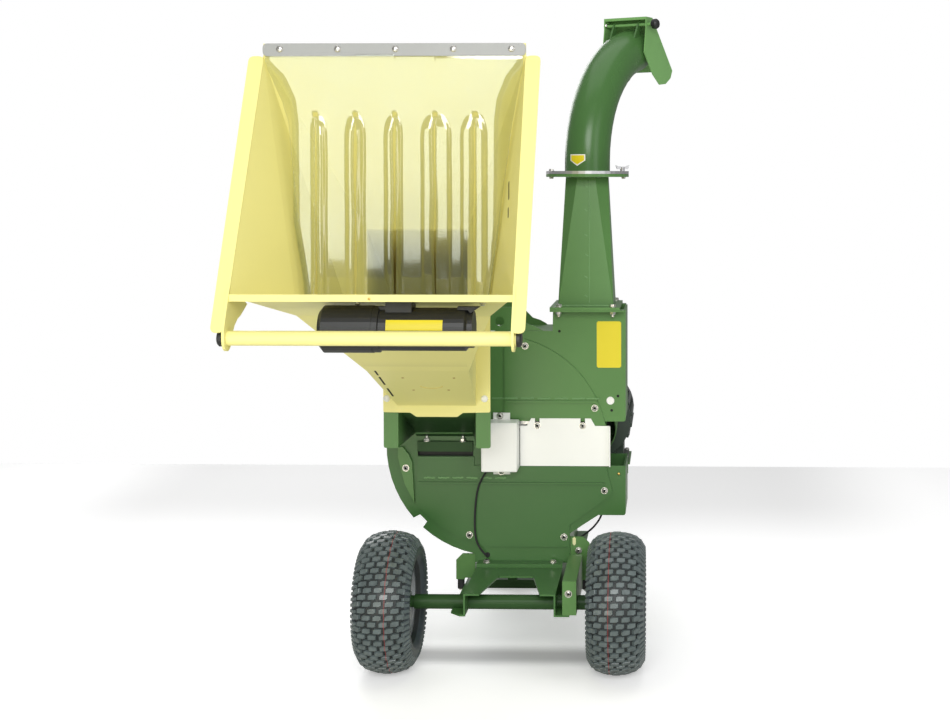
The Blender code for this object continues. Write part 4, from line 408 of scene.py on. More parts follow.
def round_tube(material, foot, heading, radius):
    """Shade by the round tube's normal; foot is where its arc starts, heading the way it bends."""
    tree = material.node_tree
    relief = tree.nodes["Principled BSDF"].inputs["Normal"].links[0].from_node
    centre = foot + Vector((math.sin(heading), math.cos(heading), 0.0)) * radius
    turn = math.pi / 2 - heading
    local = turned(tree, vector_math(tree, "SUBTRACT", object_place(tree), centre), -turn)
    axes = axes_of(tree, local)
    above = arithmetic(tree, "MAXIMUM", axes.outputs["Z"], 0.0)
    way = vector_math(tree, "NORMALIZE", vector_of(tree, axes.outputs["X"], 0.0, above))
    line = vector_math(tree, "SCALE", way, radius)
    here = vector_of(tree, axes.outputs["X"], axes.outputs["Y"], above)
    away = turned(tree, vector_math(tree, "SUBTRACT", here, line), turn)
    world = add(
        tree, "ShaderNodeVectorTransform", vector_type="NORMAL", convert_from="OBJECT", convert_to="WORLD"
    )
    tree.links.new(away, world.inputs[0])
    normal = vector_math(tree, "NORMALIZE", world.outputs[0])
    facet = add(tree, "ShaderNodeNewGeometry")
    close = vector_math(tree, "DOT_PRODUCT", normal, facet.outputs["True Normal"])
    pick = add(tree, "ShaderNodeMix", data_type="VECTOR")
    feed(tree, pick.inputs["Factor"], arithmetic(tree, "GREATER_THAN", close, FACET_COSINE))
    feed(tree, pick.inputs["A"], facet.outputs["Normal"])
    feed(tree, pick.inputs["B"], normal)
    tree.links.new(pick.outputs["Result"], relief.inputs["Normal"])


# A darker copy of the green enamel: painted shade on the bent chute.
chute_enamel_painted_shade = enamel("chute_enamel_painted_shade", srgb(72, 112, 60), rough=0.24)
round_tube(chute_enamel_painted_shade, CHUTE_FOOT, CHUTE_HEADING, CHUTE_BEND_RADIUS)
print("the chute is shaded round")

# %% [markdown]
# ## Painted shade inside the feed
#
# Little light gets into the hopper's neck and the infeed tunnel, so their insides are dark, and that shade is
# painted into their colour. A sheet is only 3 mm thick, so the painted shade is bounded by planes that run
# between its two faces: it colours the inner face and leaves the outer one as it is.

# %% Painted shade bounded by planes
def paint_inner_shade(material, planes, first_y, full_y, colour, strength):
    """Mix a painted shade in where every plane is on the right side, growing from one depth to another."""
    tree = material.node_tree
    shader = tree.nodes["Principled BSDF"]
    unshaded_colour = shader.inputs["Base Color"].links[0].from_socket
    place = object_place(tree)
    depth = axes_of(tree, place).outputs["Y"]
    weight = ranged(tree, depth, first_y + AXLE.y, full_y + AXLE.y, 0.0, strength, True)
    for normal, side, limit in planes:
        reach = vector_math(tree, "DOT_PRODUCT", place, normal)
        inside = arithmetic(tree, side, reach, limit + normal[0] * AXLE.x + normal[1] * AXLE.y)
        weight = arithmetic(tree, "MULTIPLY", inside, weight)
    feed(tree, shader.inputs["Base Color"], mixed(tree, unshaded_colour, colour, weight))


NECK_LEFT = ((1.0, -0.0727, 0.0), "GREATER_THAN", -0.2978)
NECK_RIGHT = ((1.0, 0.0727, 0.0), "LESS_THAN", -0.0782)
NECK_TOP = ((0.0, 0.63, 0.78), "LESS_THAN", 0.7946)
NECK_FLOOR = ((0.0, 0.41, 0.91), "GREATER_THAN", 0.6998)
TUNNEL_LEFT = ((1.0, -0.03, 0.0), "GREATER_THAN", -0.3013)
TUNNEL_RIGHT = ((1.0, 0.03, 0.0), "LESS_THAN", -0.0750)
TUNNEL_TOP = ((0.0, 0.43, 0.90), "LESS_THAN", 0.6866)
hopper_enamel = enamel("hopper_enamel", **CREAM)
paint_inner_shade(hopper_enamel, [NECK_LEFT, NECK_RIGHT, NECK_TOP, NECK_FLOOR], -0.43, -0.21, srgb(104, 86, 30), 0.95)
tunnel_enamel = enamel("tunnel_enamel", srgb(84, 128, 70))
paint_inner_shade(tunnel_enamel, [TUNNEL_LEFT, TUNNEL_RIGHT, TUNNEL_TOP], -0.03, 0.09, srgb(24, 44, 25), 0.9)
# The darkening inside the hopper and the tunnel is painted shade.
print("hopper and tunnel are stained inside")

# %% [markdown]
# ## Bare metal, plastic and rubber
#
# Zinc plate shows broad cloudy crystals, ground steel shows fine lines along its length, cast iron is
# grainy, and moulded black plastic is even and slightly pebbled.

# %% Metals and plastics
def grained(name, colour, rough, metallic, scale, depth, vary=0.12, stretch=(1.0, 1.0, 1.0)):
    """A surface with a grain of this scale and depth, which a stretch can draw out into lines."""
    material, tree, shader = start_material(name)
    place = object_place(tree)
    turn = add(tree, "ShaderNodeMapping", Scale=stretch)
    tree.links.new(place, turn.inputs["Vector"])
    grain = noise(tree, turn.outputs[0], scale, 4.0, 0.55)
    shade = ranged(tree, noise(tree, place, 14.0, 4.0), 0.0, 1.0, 1.0 - vary, 1.0 + vary)
    feed(tree, shader.inputs["Base Color"], mixed(tree, colour, shade, 1.0, "MULTIPLY"))
    feed(tree, shader.inputs["Roughness"], ranged(tree, grain, 0.0, 1.0, rough - 0.08, rough + 0.10))
    bump(tree, shader, grain, depth, 0.0008)
    shader.inputs["Metallic"].default_value = metallic
    return material


zinc = grained("zinc_plate", srgb(196, 196, 198), 0.38, 0.85, 120.0, 0.03)
dull_zinc = grained(
    "dull_zinc", srgb(160, 161, 160), 0.50, 0.10, 60.0, 0.05, vary=0.06, stretch=(0.2, 4.0, 9.0)
)
ground_steel = grained("ground_steel", srgb(205, 205, 204), 0.28, 1.0, 90.0, 0.05, stretch=(1.0, 12.0, 1.0))
bolt_steel = grained("bolt_steel", srgb(214, 212, 206), 0.26, 0.95, 200.0, 0.05)
brass = grained("brass", srgb(200, 168, 96), 0.3, 1.0, 200.0, 0.05)
rim_silver = grained("rim_silver", srgb(176, 180, 186), 0.40, 0.70, 160.0, 0.06, vary=0.07)
black_iron = grained("black_iron", srgb(52, 53, 54), 0.55, 0.35, 220.0, 0.20)
disc_iron = grained("worn_disc", srgb(44, 46, 42), 0.50, 0.45, 60.0, 0.10)
black_plastic = grained("black_plastic", srgb(30, 31, 32), 0.42, 0.0, 520.0, 0.10, vary=0.05)
black_rubber = grained("black_rubber", srgb(36, 36, 37), 0.72, 0.0, 300.0, 0.18, vary=0.10)
red_plastic = grained("red_plastic", srgb(186, 26, 22), 0.32, 0.0, 400.0, 0.03, vary=0.03)
green_plastic = grained("green_plastic", srgb(30, 132, 60), 0.32, 0.0, 400.0, 0.03, vary=0.03)
white_plastic = grained("white_plastic", srgb(240, 240, 236), 0.34, 0.0, 400.0, 0.03, vary=0.02)
label_yellow = grained("label_yellow", srgb(226, 208, 20), 0.42, 0.0, 300.0, 0.02, vary=0.03)
label_pale = grained("label_pale", srgb(232, 230, 176), 0.40, 0.0, 300.0, 0.02, vary=0.03)
# A near-black finish for sockets, small holes and slots: painted shade.
gap_painted_shade = grained("gap_painted_shade", srgb(26, 27, 24), 0.85, 0.0, 200.0, 0.0, vary=0.05)
weld_green = grained("weld_green", srgb(104, 148, 90), 0.30, 0.0, 150.0, 0.10, vary=0.16)
weld_cream = grained("weld_cream", srgb(232, 216, 130), 0.38, 0.0, 150.0, 0.10, vary=0.06)
print("metals and plastics made")

# %% Give the CAD nodes their finishes
DRESS = {
    "chassis_deck": lower_green_painted_shade, "side_rail": green_enamel, "rear_stand": green_painted_shade, "axle": green_painted_shade,
    "side_bracket_left": green_enamel, "side_bracket_right": green_enamel, "lower_casing": lower_green_painted_shade,
    "upper_casing": green_enamel, "lower_face_plate": lower_green_painted_shade, "upper_face_plate": green_enamel,
    "infeed_gusset": green_enamel, "infeed_tunnel": tunnel_enamel, "discharge_tower": green_enamel,
    "swivel_ring_lower": green_enamel, "chute_bend": chute_enamel_painted_shade, "deflector_flap": flap_green_painted_light,
    "belt_guard": green_enamel, "motor_stand": green_enamel, "lifting_eye": green_enamel,
    "hopper": hopper_enamel, "handle_bar": cream_enamel, "access_cover": white_enamel,
    "bearing_box": white_enamel, "swivel_ring_upper": zinc, "curtain_clamp": dull_zinc,
    "manual_tube_saddle": black_iron, "swivel_clamp": zinc, "anvil": green_painted_shade, "knife_a": ground_steel,
    "knife_b": ground_steel, "rotor_shaft": ground_steel, "motor_shaft": ground_steel,
    "rotor_disc": disc_iron, "rotor_pulley": black_iron, "motor_pulley": black_iron,
    "front_bearing": black_iron, "rear_bearing": black_iron, "motor_housing": motor_enamel,
    "rim_left": rim_silver, "rim_right": rim_silver, "motor_fan_cowl": black_enamel,
    "motor_terminal_box": black_plastic, "switch_box": black_plastic, "manual_tube": black_plastic,
    "manual_tube_cap": black_plastic, "handle_cap_left": black_plastic, "handle_cap_right": black_plastic,
    "deflector_knob": black_plastic, "belt_front": black_rubber, "belt_rear": black_rubber,
    "rubber_buffer_left": black_rubber, "rubber_buffer_right": black_rubber, "lead_grommet": black_rubber,
    "front_lead": black_rubber, "rear_lead": black_rubber, "start_button": green_plastic,
    "stop_button": red_plastic,
}
for node_name, finish in DRESS.items():
    nodes[node_name].material_slots[0].material = finish
print(len(DRESS), "CAD nodes dressed; left for later:", sorted(set(nodes) - set(DRESS)))

# %% [markdown]
# ## One small part, set out many times
#
# The machine is held together by the same few fasteners again and again, and a tyre is one lug repeated
# a few hundred times. So one small Geometry Nodes tree does all of it: it takes points that carry two
# directions, "out" from the surface and "along" it, and sets a copy of one part on each.

# %% The tree that sets out parts
SPIN_SEED = 4


def node_tree(name, sockets):
    """An empty Geometry Nodes tree with named inputs."""
    tree = bpy.data.node_groups.new(name, "GeometryNodeTree")
    tree.interface.new_socket("Geometry", in_out="INPUT", socket_type="NodeSocketGeometry")
    for label, kind, value in sockets:
        socket = tree.interface.new_socket(label, in_out="INPUT", socket_type=kind)
        if value is not None:
            socket.default_value = value
    tree.interface.new_socket("Geometry", in_out="OUTPUT", socket_type="NodeSocketGeometry")
    return tree, tree.nodes.new("NodeGroupInput"), tree.nodes.new("NodeGroupOutput")


def set_out_tree():
    """On each point: a copy of a part, stood up along "out", faced along "along", spun by chance."""
    tree, start, end = node_tree("set_out_on_points", [
        ("Part", "NodeSocketObject", None), ("Size", "NodeSocketFloat", 1.0),
        ("Spin", "NodeSocketFloat", 0.0), ("Seed", "NodeSocketInt", SPIN_SEED),
        ("Finish", "NodeSocketMaterial", None),
    ])
    part = add(tree, "GeometryNodeObjectInfo")
    out = add(tree, "GeometryNodeInputNamedAttribute", data_type="FLOAT_VECTOR", Name="out")
    along = add(tree, "GeometryNodeInputNamedAttribute", data_type="FLOAT_VECTOR", Name="along")
    stand = add(tree, "FunctionNodeAlignRotationToVector", axis="Z")
    face = add(tree, "FunctionNodeAlignRotationToVector", axis="X", pivot_axis="Z")
    chance = add(tree, "FunctionNodeRandomValue", data_type="FLOAT")
    spin = add(tree, "ShaderNodeCombineXYZ")
    by = add(tree, "FunctionNodeEulerToRotation")
    turned = add(tree, "FunctionNodeRotateRotation", rotation_space="LOCAL")
    place = add(tree, "GeometryNodeInstanceOnPoints")
    real = add(tree, "GeometryNodeRealizeInstances")
    finish = add(tree, "GeometryNodeSetMaterial")
    links = tree.links
    links.new(start.outputs["Part"], part.inputs["Object"])
    links.new(out.outputs["Attribute"], stand.inputs["Vector"])
    links.new(stand.outputs[0], face.inputs["Rotation"])
    links.new(along.outputs["Attribute"], face.inputs["Vector"])
    links.new(start.outputs["Spin"], chance.inputs["Max"])
    links.new(start.outputs["Seed"], chance.inputs["Seed"])
    links.new(chance.outputs["Value"], spin.inputs["Z"])
    links.new(spin.outputs[0], by.inputs[0])
    links.new(face.outputs[0], turned.inputs["Rotation"])
    links.new(by.outputs[0], turned.inputs["Rotate By"])
    links.new(start.outputs["Geometry"], place.inputs["Points"])
    links.new(part.outputs["Geometry"], place.inputs["Instance"])
    links.new(turned.outputs[0], place.inputs["Rotation"])
    links.new(start.outputs["Size"], place.inputs["Scale"])
    links.new(place.outputs[0], real.inputs[0])
    links.new(real.outputs[0], finish.inputs["Geometry"])
    links.new(start.outputs["Finish"], finish.inputs["Material"])
    links.new(finish.outputs[0], end.inputs[0])
    return tree


set_out = set_out_tree()
print("tree inputs:", [item.name for item in set_out.interface.items_tree if item.in_out == "INPUT"])


# %% Put a mesh in the scene
def show(name, mesh, body):
    """Put a mesh in the scene as a finished piece that rides on a CAD body."""
    piece = bpy.data.objects.new(name, mesh)
    mesh.name = name
    bpy.context.scene.collection.objects.link(piece)
    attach(piece, body)
    return piece


def show_work(name, work, finish, body):
    """Show what was built face by face, in one finish."""
    mesh = bpy.data.meshes.new(name)
    work.to_mesh(mesh)
    work.free()
    mesh.materials.append(finish)
    return show(name, mesh, body)


def wall(work, lower, upper):
    """The faces between two closed rings of vertices."""
    for index in range(len(lower)):
        after = (index + 1) % len(lower)
        work.faces.new((lower[index], lower[after], upper[after], upper[index]))


def outward(work):
    """Turn every face so that it looks out."""
    bmesh.ops.recalc_face_normals(work, faces=work.faces)


def full_turn(count, phase=0.0):
    """Angles set out evenly round a circle."""
    return [2 * math.pi * (index + phase) / count for index in range(count)]


print("a full turn in four:", [round(angle, 2) for angle in full_turn(4)])


# %% Run a tree and keep its result as a plain mesh
def run_tree(name, base, tree, settings, body):
    """Give a mesh of points to a tree, and show what comes out."""
    carrier = bpy.data.objects.new(name + "_points", base)
    bpy.context.scene.collection.objects.link(carrier)
    modifier = carrier.modifiers.new("nodes", "NODES")
    modifier.node_group = tree
    for item in tree.interface.items_tree:
        if item.in_out == "INPUT" and item.name in settings:
            modifier[item.identifier] = settings[item.name]
    bpy.context.view_layer.update()
    graph = bpy.context.evaluated_depsgraph_get()
    mesh = bpy.data.meshes.new_from_object(carrier.evaluated_get(graph), depsgraph=graph)
    bpy.data.objects.remove(carrier, do_unlink=True)
    for attribute in [a for a in mesh.attributes if a.name in ("out", "along")]:
        mesh.attributes.remove(attribute)
    return show(name, mesh, body)


def spread(name, part, spots, finish, body, spin=0.0, size=1.0):
    """Set one part on every spot: (place, out, along), or (place, out)."""
    base = bpy.data.meshes.new(name + "_points")
    base.from_pydata([tuple(spot[0]) for spot in spots], [], [])
    outs = [Vector(spot[1]) for spot in spots]
    alongs = [Vector(spot[2]) if len(spot) > 2 else out.orthogonal() for spot, out in zip(spots, outs)]
    for label, vectors in (("out", outs), ("along", alongs)):
        attribute = base.attributes.new(label, "FLOAT_VECTOR", "POINT")
        for value, vector in zip(attribute.data, vectors):
            value.vector = vector
    settings = {"Part": part, "Size": size, "Spin": spin, "Seed": SPIN_SEED, "Finish": finish}
    piece = run_tree(name, base, set_out, settings, body)
    print(name, len(spots), "copies,", len(piece.data.polygons), "faces")


# %% Parts that are only copied from
pattern_parts = []


def pattern_part(name, work):
    """A part that is only copied from; it is taken away again before the end."""
    mesh = bpy.data.meshes.new(name)
    work.to_mesh(mesh)
    work.free()
    item = bpy.data.objects.new(name, mesh)
    bpy.context.scene.collection.objects.link(item)
    item.hide_render = True
    pattern_parts.append(item)
    return item


def lathe(work, profile, sides):
    """Turn a profile of (radius, height) rows about Z; a row on the axis closes it to a point."""
    rings = []
    for radius, height in profile:
        ring = []
        for angle in full_turn(sides if radius else 1):
            ring.append(work.verts.new((radius * math.cos(angle), radius * math.sin(angle), height)))
        rings.append(ring)
    for lower, upper in zip(rings, rings[1:]):
        if len(lower) == len(upper):
            wall(work, lower, upper)
            continue
        for index in range(sides):
            after = (index + 1) % sides
            if len(lower) == 1:
                work.faces.new((lower[0], upper[after], upper[index]))
            else:
                work.faces.new((lower[index], lower[after], upper[0]))
    outward(work)


def turned_part(name, *profiles):
    """A part to copy from, turned from one profile or more, each given with its number of sides."""
    work = bmesh.new()
    for profile, sides in profiles:
        lathe(work, profile, sides)
    return pattern_part(name, work)


print("a part is turned from a profile and copied by name")

# %% [markdown]
# ## Bolts, nuts and caps
#
# The sheet-metal covers are held by button-head bolts on bright washers. Their low dome catches the light as
# a white ring, and the hexagon socket in the middle stays dark. Plain hexagon nuts close the through bolts.
# A head is turned from a short profile; the socket is turned with six sides, and its dark lining is painted
# shade.

# %% The fasteners
def bolt_part(name, head=0.0098, height=0.0066, washer=0.0115, thick=0.002, stud=0.0):
    """A hexagon on its washer; with a stud it is a nut, and the bolt's end stands out of it."""
    top = thick + height
    disc = [(0, 0), (washer, 0), (washer, thick * 0.8), (washer - 0.0004, thick), (0, thick)]
    hexagon = [(0, thick), (head, thick), (head, thick + height * 0.82), (head * 0.90, top), (0, top)]
    profiles = [(disc, 24), (hexagon, 6)]
    if stud:
        end = [
            (0, top - 0.001), (head * 0.52, top - 0.001), (head * 0.52, top + stud - 0.001),
            (head * 0.42, top + stud), (0, top + stud),
        ]
        profiles.append((end, 12))
    return turned_part(name, *profiles)


def button_part(name, radius=0.0088, height=0.0048, washer=0.0108, thick=0.0014, socket=0.0040):
    """A domed head with a round well for its hexagon socket, on its washer."""
    disc = [(0, 0), (washer, 0), (washer, thick * 0.7), (washer - 0.0003, thick), (0, thick)]
    dome = []
    for step in range(6):
        turn = math.radians(step * 14)
        dome.append((radius * math.cos(turn), thick + height * math.sin(turn)))
    rim = dome[-1][1]
    dome = [(r, z) for r, z in dome if r > socket + 0.0006]
    well = [(socket + 0.0004, rim), (socket, rim - 0.0004), (socket, rim - 0.0030), (0, rim - 0.0032)]
    return turned_part(name, (disc, 24), ([(0, thick), *dome, *well], 24))


def socket_part(name, socket=0.0039, level=0.0033):
    """The floor and walls of a bolt's hexagon socket; their dark finish is painted shade."""
    foot = level - 0.0006
    top = level + 0.0014
    inner = socket * 0.86
    cup = [(0, foot), (socket, foot), (socket, top), (inner, top), (inner, level), (0, level)]
    return turned_part(name, (cup, 6))


def dome_part(name, radius, height):
    """A plain low dome."""
    turns = [math.radians(degrees) for degrees in range(0, 90, 15)]
    curve = [(radius * math.cos(turn), height * math.sin(turn)) for turn in turns]
    return turned_part(name, ([(0, 0), *curve, (0, height)], 20))


def plug_part(name, radius, height):
    """A flat cap with a raised rim, as on plugged holes."""
    rim = [(radius, 0), (radius, height * 0.7), (radius * 0.92, height), (radius * 0.80, height * 0.9)]
    cap = [(0, 0), *rim, (radius * 0.74, height * 0.55), (0, height * 0.5)]
    return turned_part(name, (cap, 24))


large_bolt = bolt_part("large_bolt")
small_bolt = bolt_part("small_bolt", head=0.0064, height=0.0042, washer=0.0075, thick=0.0015)
button_bolt = button_part("button_bolt")
bolt_socket = socket_part("bolt_socket")
nut = bolt_part("nut", head=0.0092, height=0.0080, washer=0.0110, thick=0.002, stud=0.008)
pan_head = dome_part("pan_head", 0.0085, 0.0045)
cap_dome = dome_part("cap_dome", 0.0135, 0.0085)
hole_rim = plug_part("hole_rim", 0.0042, 0.0008)
wide_plug = plug_part("wide_plug", 0.0122, 0.0030)
print("nine fasteners to copy from:", [item.name for item in pattern_parts])

# %% Fasteners and plugs of the machine
OUT = Vector((0, -1, 0))
UP = Vector((0, 0, 1))
DOWN = -UP
BACK = -OUT
PLATE_FACE = 0.2347
CASING_FACE = 0.2400
casing_places = [
    (-0.1315, PLATE_FACE, 0.342), (0.1607, PLATE_FACE, 0.337), (0.2856, PLATE_FACE, 0.481),
    (0.0414, PLATE_FACE, 0.927), (0.2560, PLATE_FACE, 0.736), (-0.3272, 0.228, 0.5495),
    (-0.036, 0.2315, 0.7115), (-0.032, 0.2315, 0.5395), (0.1965, -0.086, 0.252), (0.205, 0.248, 0.292),
]
casing_spots = [(at(*place), OUT) for place in casing_places]
spread("casing_bolts", button_bolt, casing_spots, bolt_steel, "machine", spin=1.0)
# The dark sockets are painted shade.
spread("casing_bolt_sockets", bolt_socket, casing_spots, gap_painted_shade, "machine")
flange_places = [
    (-0.076, 0.216, 0.262), (0.1285, 0.216, 0.262), (0.147, 0.216, 1.0493), (0.312, 0.216, 1.0493),
    (0.147, 0.464, 1.0493), (0.312, 0.464, 1.0493),
]
flange_spots = [(at(*place), UP) for place in flange_places]
spread("flange_bolts", large_bolt, flange_spots, bolt_steel, "machine", spin=1.0)
anvil_spots = [(at(x, 0.2355, 0.6317), UP) for x in (-0.2627, -0.1513)]
spread("anvil_nuts", nut, anvil_spots, bolt_steel, "machine", spin=1.0)
cover_spots = [(at(x, 0.2311, 0.6815), OUT) for x in (0.079, 0.219)]
spread("cover_bolts", button_bolt, cover_spots, bolt_steel, "machine", spin=1.0)
# The dark sockets are painted shade.
spread("cover_bolt_sockets", bolt_socket, cover_spots, gap_painted_shade, "machine")
clamp_spots = [(at(x, -0.6776, 1.7590), OUT) for x in (-0.469, -0.3266, -0.1843, -0.042, 0.1004)]
spread("clamp_screws", pan_head, clamp_spots, bolt_steel, "machine")
cap_spots = [(at(x, -0.0393, 0.805), OUT) for x in (-0.333, -0.0495)]
spread("flange_caps", cap_dome, cap_spots, white_plastic, "machine", size=0.76)
spread("casing_plug", wide_plug, [(at(0.3039, CASING_FACE, 0.7584), OUT)], white_plastic, "machine")
brass_spot = (at(0.3298, CASING_FACE, 0.5319), OUT)
spread("casing_brass_plug", pan_head, [brass_spot], brass, "machine", size=0.55)
hole_places = [(0.1468, 0.9722), (0.3274, 0.7727), (0.3079, 0.7284)]
hole_spots = [(at(x, CASING_FACE, z), OUT) for x, z in hole_places]
# The small holes are dark discs of painted shade.
spread("casing_small_holes", hole_rim, hole_spots, gap_painted_shade, "machine")

# %% [markdown]
# ## Tyres
#
# The wheels carry turf tyres. A turf tyre is a nearly square section with low staggered lugs that don't
# tear the lawn. The CAD tyre is the outer envelope, so the carcass is turned here a lug's height smaller
# and the lugs are set out on it, and together they reach the same diameter.

# %% Tyre rubber
STRIPE_HALF_WIDTH = 0.0012
STRIPE_STRENGTH = 0.65


def tyre_rubber(name, stripe_x, dark, light, rough):
    """Rubber with uneven grime and one thin, faded red line round it, at this X."""
    material, tree, shader = start_material(name)
    place = object_place(tree)
    tone = mixed(tree, srgb(*dark), srgb(*light), noise(tree, place, 36.0, 6.0, 0.65))
    side = distance_from(tree, axes_of(tree, place).outputs["X"], stripe_x)
    line = arithmetic(tree, "LESS_THAN", side, STRIPE_HALF_WIDTH)
    weight = arithmetic(tree, "MULTIPLY", line, STRIPE_STRENGTH)
    feed(tree, shader.inputs["Base Color"], mixed(tree, tone, srgb(160, 62, 62), weight))
    shader.inputs["Roughness"].default_value = rough
    bump(tree, shader, noise(tree, place, 380.0, 2.0), 0.18, 0.0008)
    return material


# %% One lug
def lug_part(name, width, length, height, notch=0.16):
    """A low brick, wider across the tyre than along it, with a small step cut into two of its corners."""
    work = bmesh.new()
    outline = [
        (-0.50, -0.50), (0.50 - notch, -0.50), (0.50 - notch, -0.50 + notch), (0.50, -0.50 + notch),
        (0.50, 0.50), (-0.50 + notch, 0.50), (-0.50 + notch, 0.50 - notch), (-0.50, 0.50 - notch),
    ]
    rings = []
    for share, level in ((1.0, -0.002), (0.95, height * 0.80), (0.86, height)):
        rings.append([work.verts.new((x * width * share, y * length * share, level)) for x, y in outline])
    for lower, upper in zip(rings, rings[1:]):
        wall(work, lower, upper)
    work.faces.new(rings[-1])
    work.faces.new(list(reversed(rings[0])))
    outward(work)
    return pattern_part(name, work)


WHEEL_X = 0.332
TYRE_RADIUS = 0.203
LUG = 0.0070
CROWN = [(0.0, 0.0), (0.030, 0.0035), (0.054, 0.011), (0.074, 0.029), (0.0825, 0.055)]


def crown_drop(offset):
    """How far the envelope has fallen below full radius at this distance from the middle."""
    offset = abs(offset)
    for (a, low), (b, high) in zip(CROWN, CROWN[1:]):
        if offset <= b:
            return low + (high - low) * (offset - a) / (b - a)
    return CROWN[-1][1]


tread_lug = lug_part("tread_lug", 0.0250, 0.0152, LUG)
shoulder_lug = lug_part("shoulder_lug", 0.0290, 0.0100, LUG * 0.8, notch=0.10)

# %% The carcass
RIM_SEAT = 0.1018
TREAD_OFFSETS = (0.0, 0.015, 0.030, 0.044, 0.054, 0.064, 0.071)
SIDE_WALL = [
    (0.0780, 0.1640), (0.0818, 0.1500), (0.0822, 0.1440), (0.0812, 0.1400), (0.0806, 0.1330),
    (0.0770, 0.1290), (0.0740, 0.1250), (0.0680, 0.1205), (0.0600, 0.1165), (0.0545, 0.1150),
    (0.0492, 0.1120), (0.0491, RIM_SEAT), (0.0340, RIM_SEAT),
]
LINING = [(0.0410, 0.1210), (0.0670, 0.1400), (0.0640, 0.1700), (0.0450, 0.1820), (0.0, 0.1840)]
CARCASS_STEPS = 96
WALL_FROM = 0.0705
STRIPE_OFFSET = 0.018
SLOPE_STEP = 0.004


def carcass_mesh(name, hub):
    """The tyre without its lugs: a closed section of (offset, radius) rows, turned round the axle."""
    tread = [(x, TYRE_RADIUS - crown_drop(x) - LUG) for x in TREAD_OFFSETS]
    half = [*tread, *SIDE_WALL, *LINING]
    section = half + [(-x, r) for x, r in reversed(half[1:-1])]
    work = bmesh.new()
    rings = []
    for angle in full_turn(CARCASS_STEPS):
        ring = []
        for x, r in section:
            place = (hub.x + x, hub.y + r * math.sin(angle), hub.z - r * math.cos(angle))
            ring.append(work.verts.new(place))
        rings.append(ring)
    for here, there in zip(rings, rings[1:] + rings[:1]):
        wall(work, here, there)
    outward(work)
    mesh = bpy.data.meshes.new(name)
    work.to_mesh(mesh)
    work.free()
    return mesh


def tread_spots(hub, rows, count, phase=0.0):
    """Places round the tyre; the offsets across it are taken in turn, row after row."""
    spots = []
    for index, angle in enumerate(full_turn(count, phase)):
        radial = Vector((0, math.sin(angle), -math.cos(angle)))
        for x in rows[index % len(rows)]:
            fall = crown_drop(abs(x) + SLOPE_STEP) - crown_drop(abs(x) - SLOPE_STEP)
            slope = math.atan(fall / (2 * SLOPE_STEP))
            away = radial * math.cos(slope) + Vector((math.copysign(math.sin(slope), x), 0, 0))
            place = hub + Vector((x, 0, 0)) + radial * (TYRE_RADIUS - crown_drop(x) - LUG)
            around = Vector((0, math.cos(angle), math.sin(angle)))
            spots.append((place, away, around.cross(away)))
    return spots


print("one tyre has", CARCASS_STEPS, "steps round")

# %% The two tyres
BRICKS = [(-0.0465, -0.0155, 0.0155, 0.0465), (-0.0600, -0.0310, 0.0, 0.0310, 0.0600)]
SHOULDERS = [(-0.0725, 0.0725)]
LUG_ROWS = 66


def make_tyre(side, name):
    """One tyre: a smooth carcass in two tones, with its lugs and shoulder lugs set out on it; the grooves
    carry painted shade and the lugs painted light.
    """
    hub = at(side * WHEEL_X, 0.0, TYRE_RADIUS)
    body = "wheel_" + name.split("_")[1]
    mesh = carcass_mesh(name, hub)
    stripe = hub.x - side * STRIPE_OFFSET
    # The grooves between the lugs are a darker rubber: painted shade.
    mesh.materials.append(tyre_rubber(name + "_groove_rubber_painted_shade", stripe, (24, 28, 29), (50, 56, 58), 0.5))
    mesh.materials.append(tyre_rubber(name + "_wall_rubber", stripe, (44, 51, 56), (84, 93, 99), 0.40))
    # The lugs are a lighter rubber: painted light.
    rubber = tyre_rubber(name + "_tread_rubber_painted_light", stripe, (46, 54, 55), (120, 132, 133), 0.30)
    for face in mesh.polygons:
        face.material_index = 1 if abs(face.center.x - hub.x) > WALL_FROM else 0
    carcass = show(name + "_carcass", mesh, body)
    carcass.data.shade_smooth()
    carcass.data.set_sharp_from_angle(angle=math.radians(50))
    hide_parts(name)
    spread(name + "_lugs", tread_lug, tread_spots(hub, BRICKS, LUG_ROWS), rubber, body)
    shoulder_spots = tread_spots(hub, SHOULDERS, LUG_ROWS, 0.25)
    spread(name + "_shoulder_lugs", shoulder_lug, shoulder_spots, rubber, body)


make_tyre(-1, "tyre_left")
make_tyre(1, "tyre_right")

# %% [markdown]
# ## The strip curtain
#
# A sheet of clear soft PVC hangs from the clamp strip so that nothing flies back out of the hopper. It is
# cut into strips from below, and each slit ends in a small punched hole. The hopper narrows behind it, so
# the strips stand a little proud of each other and each one bows towards the viewer. A cloth simulation
# would have to fight that narrow space, so the sheet is written as a grid whose bow grows from the clamp
# down.

# %% Clear PVC
def clear_pvc():
    """Glossy, slightly wavy and nearly clear; scuffs cloud it in soft patches."""
    material, tree, shader = start_material("clear_pvc")
    place = object_place(tree)
    cloud = noise(tree, place, 4.0, 4.0)
    feed(tree, shader.inputs["Roughness"], ranged(tree, cloud, 0.0, 1.0, 0.03, 0.08))
    feed(tree, shader.inputs["Alpha"], ranged(tree, cloud, 0.45, 0.75, 0.17, 0.24))
    bump(tree, shader, noise(tree, place, 16.0, 2.0), 0.04, 0.002)
    shader.inputs["Base Color"].default_value = srgb(140, 152, 106)
    shader.inputs["IOR"].default_value = 2.30
    shader.inputs["Specular IOR Level"].default_value = 0.9
    shader.inputs["Coat Weight"].default_value = 1.0
    shader.inputs["Coat Roughness"].default_value = 0.03
    return material


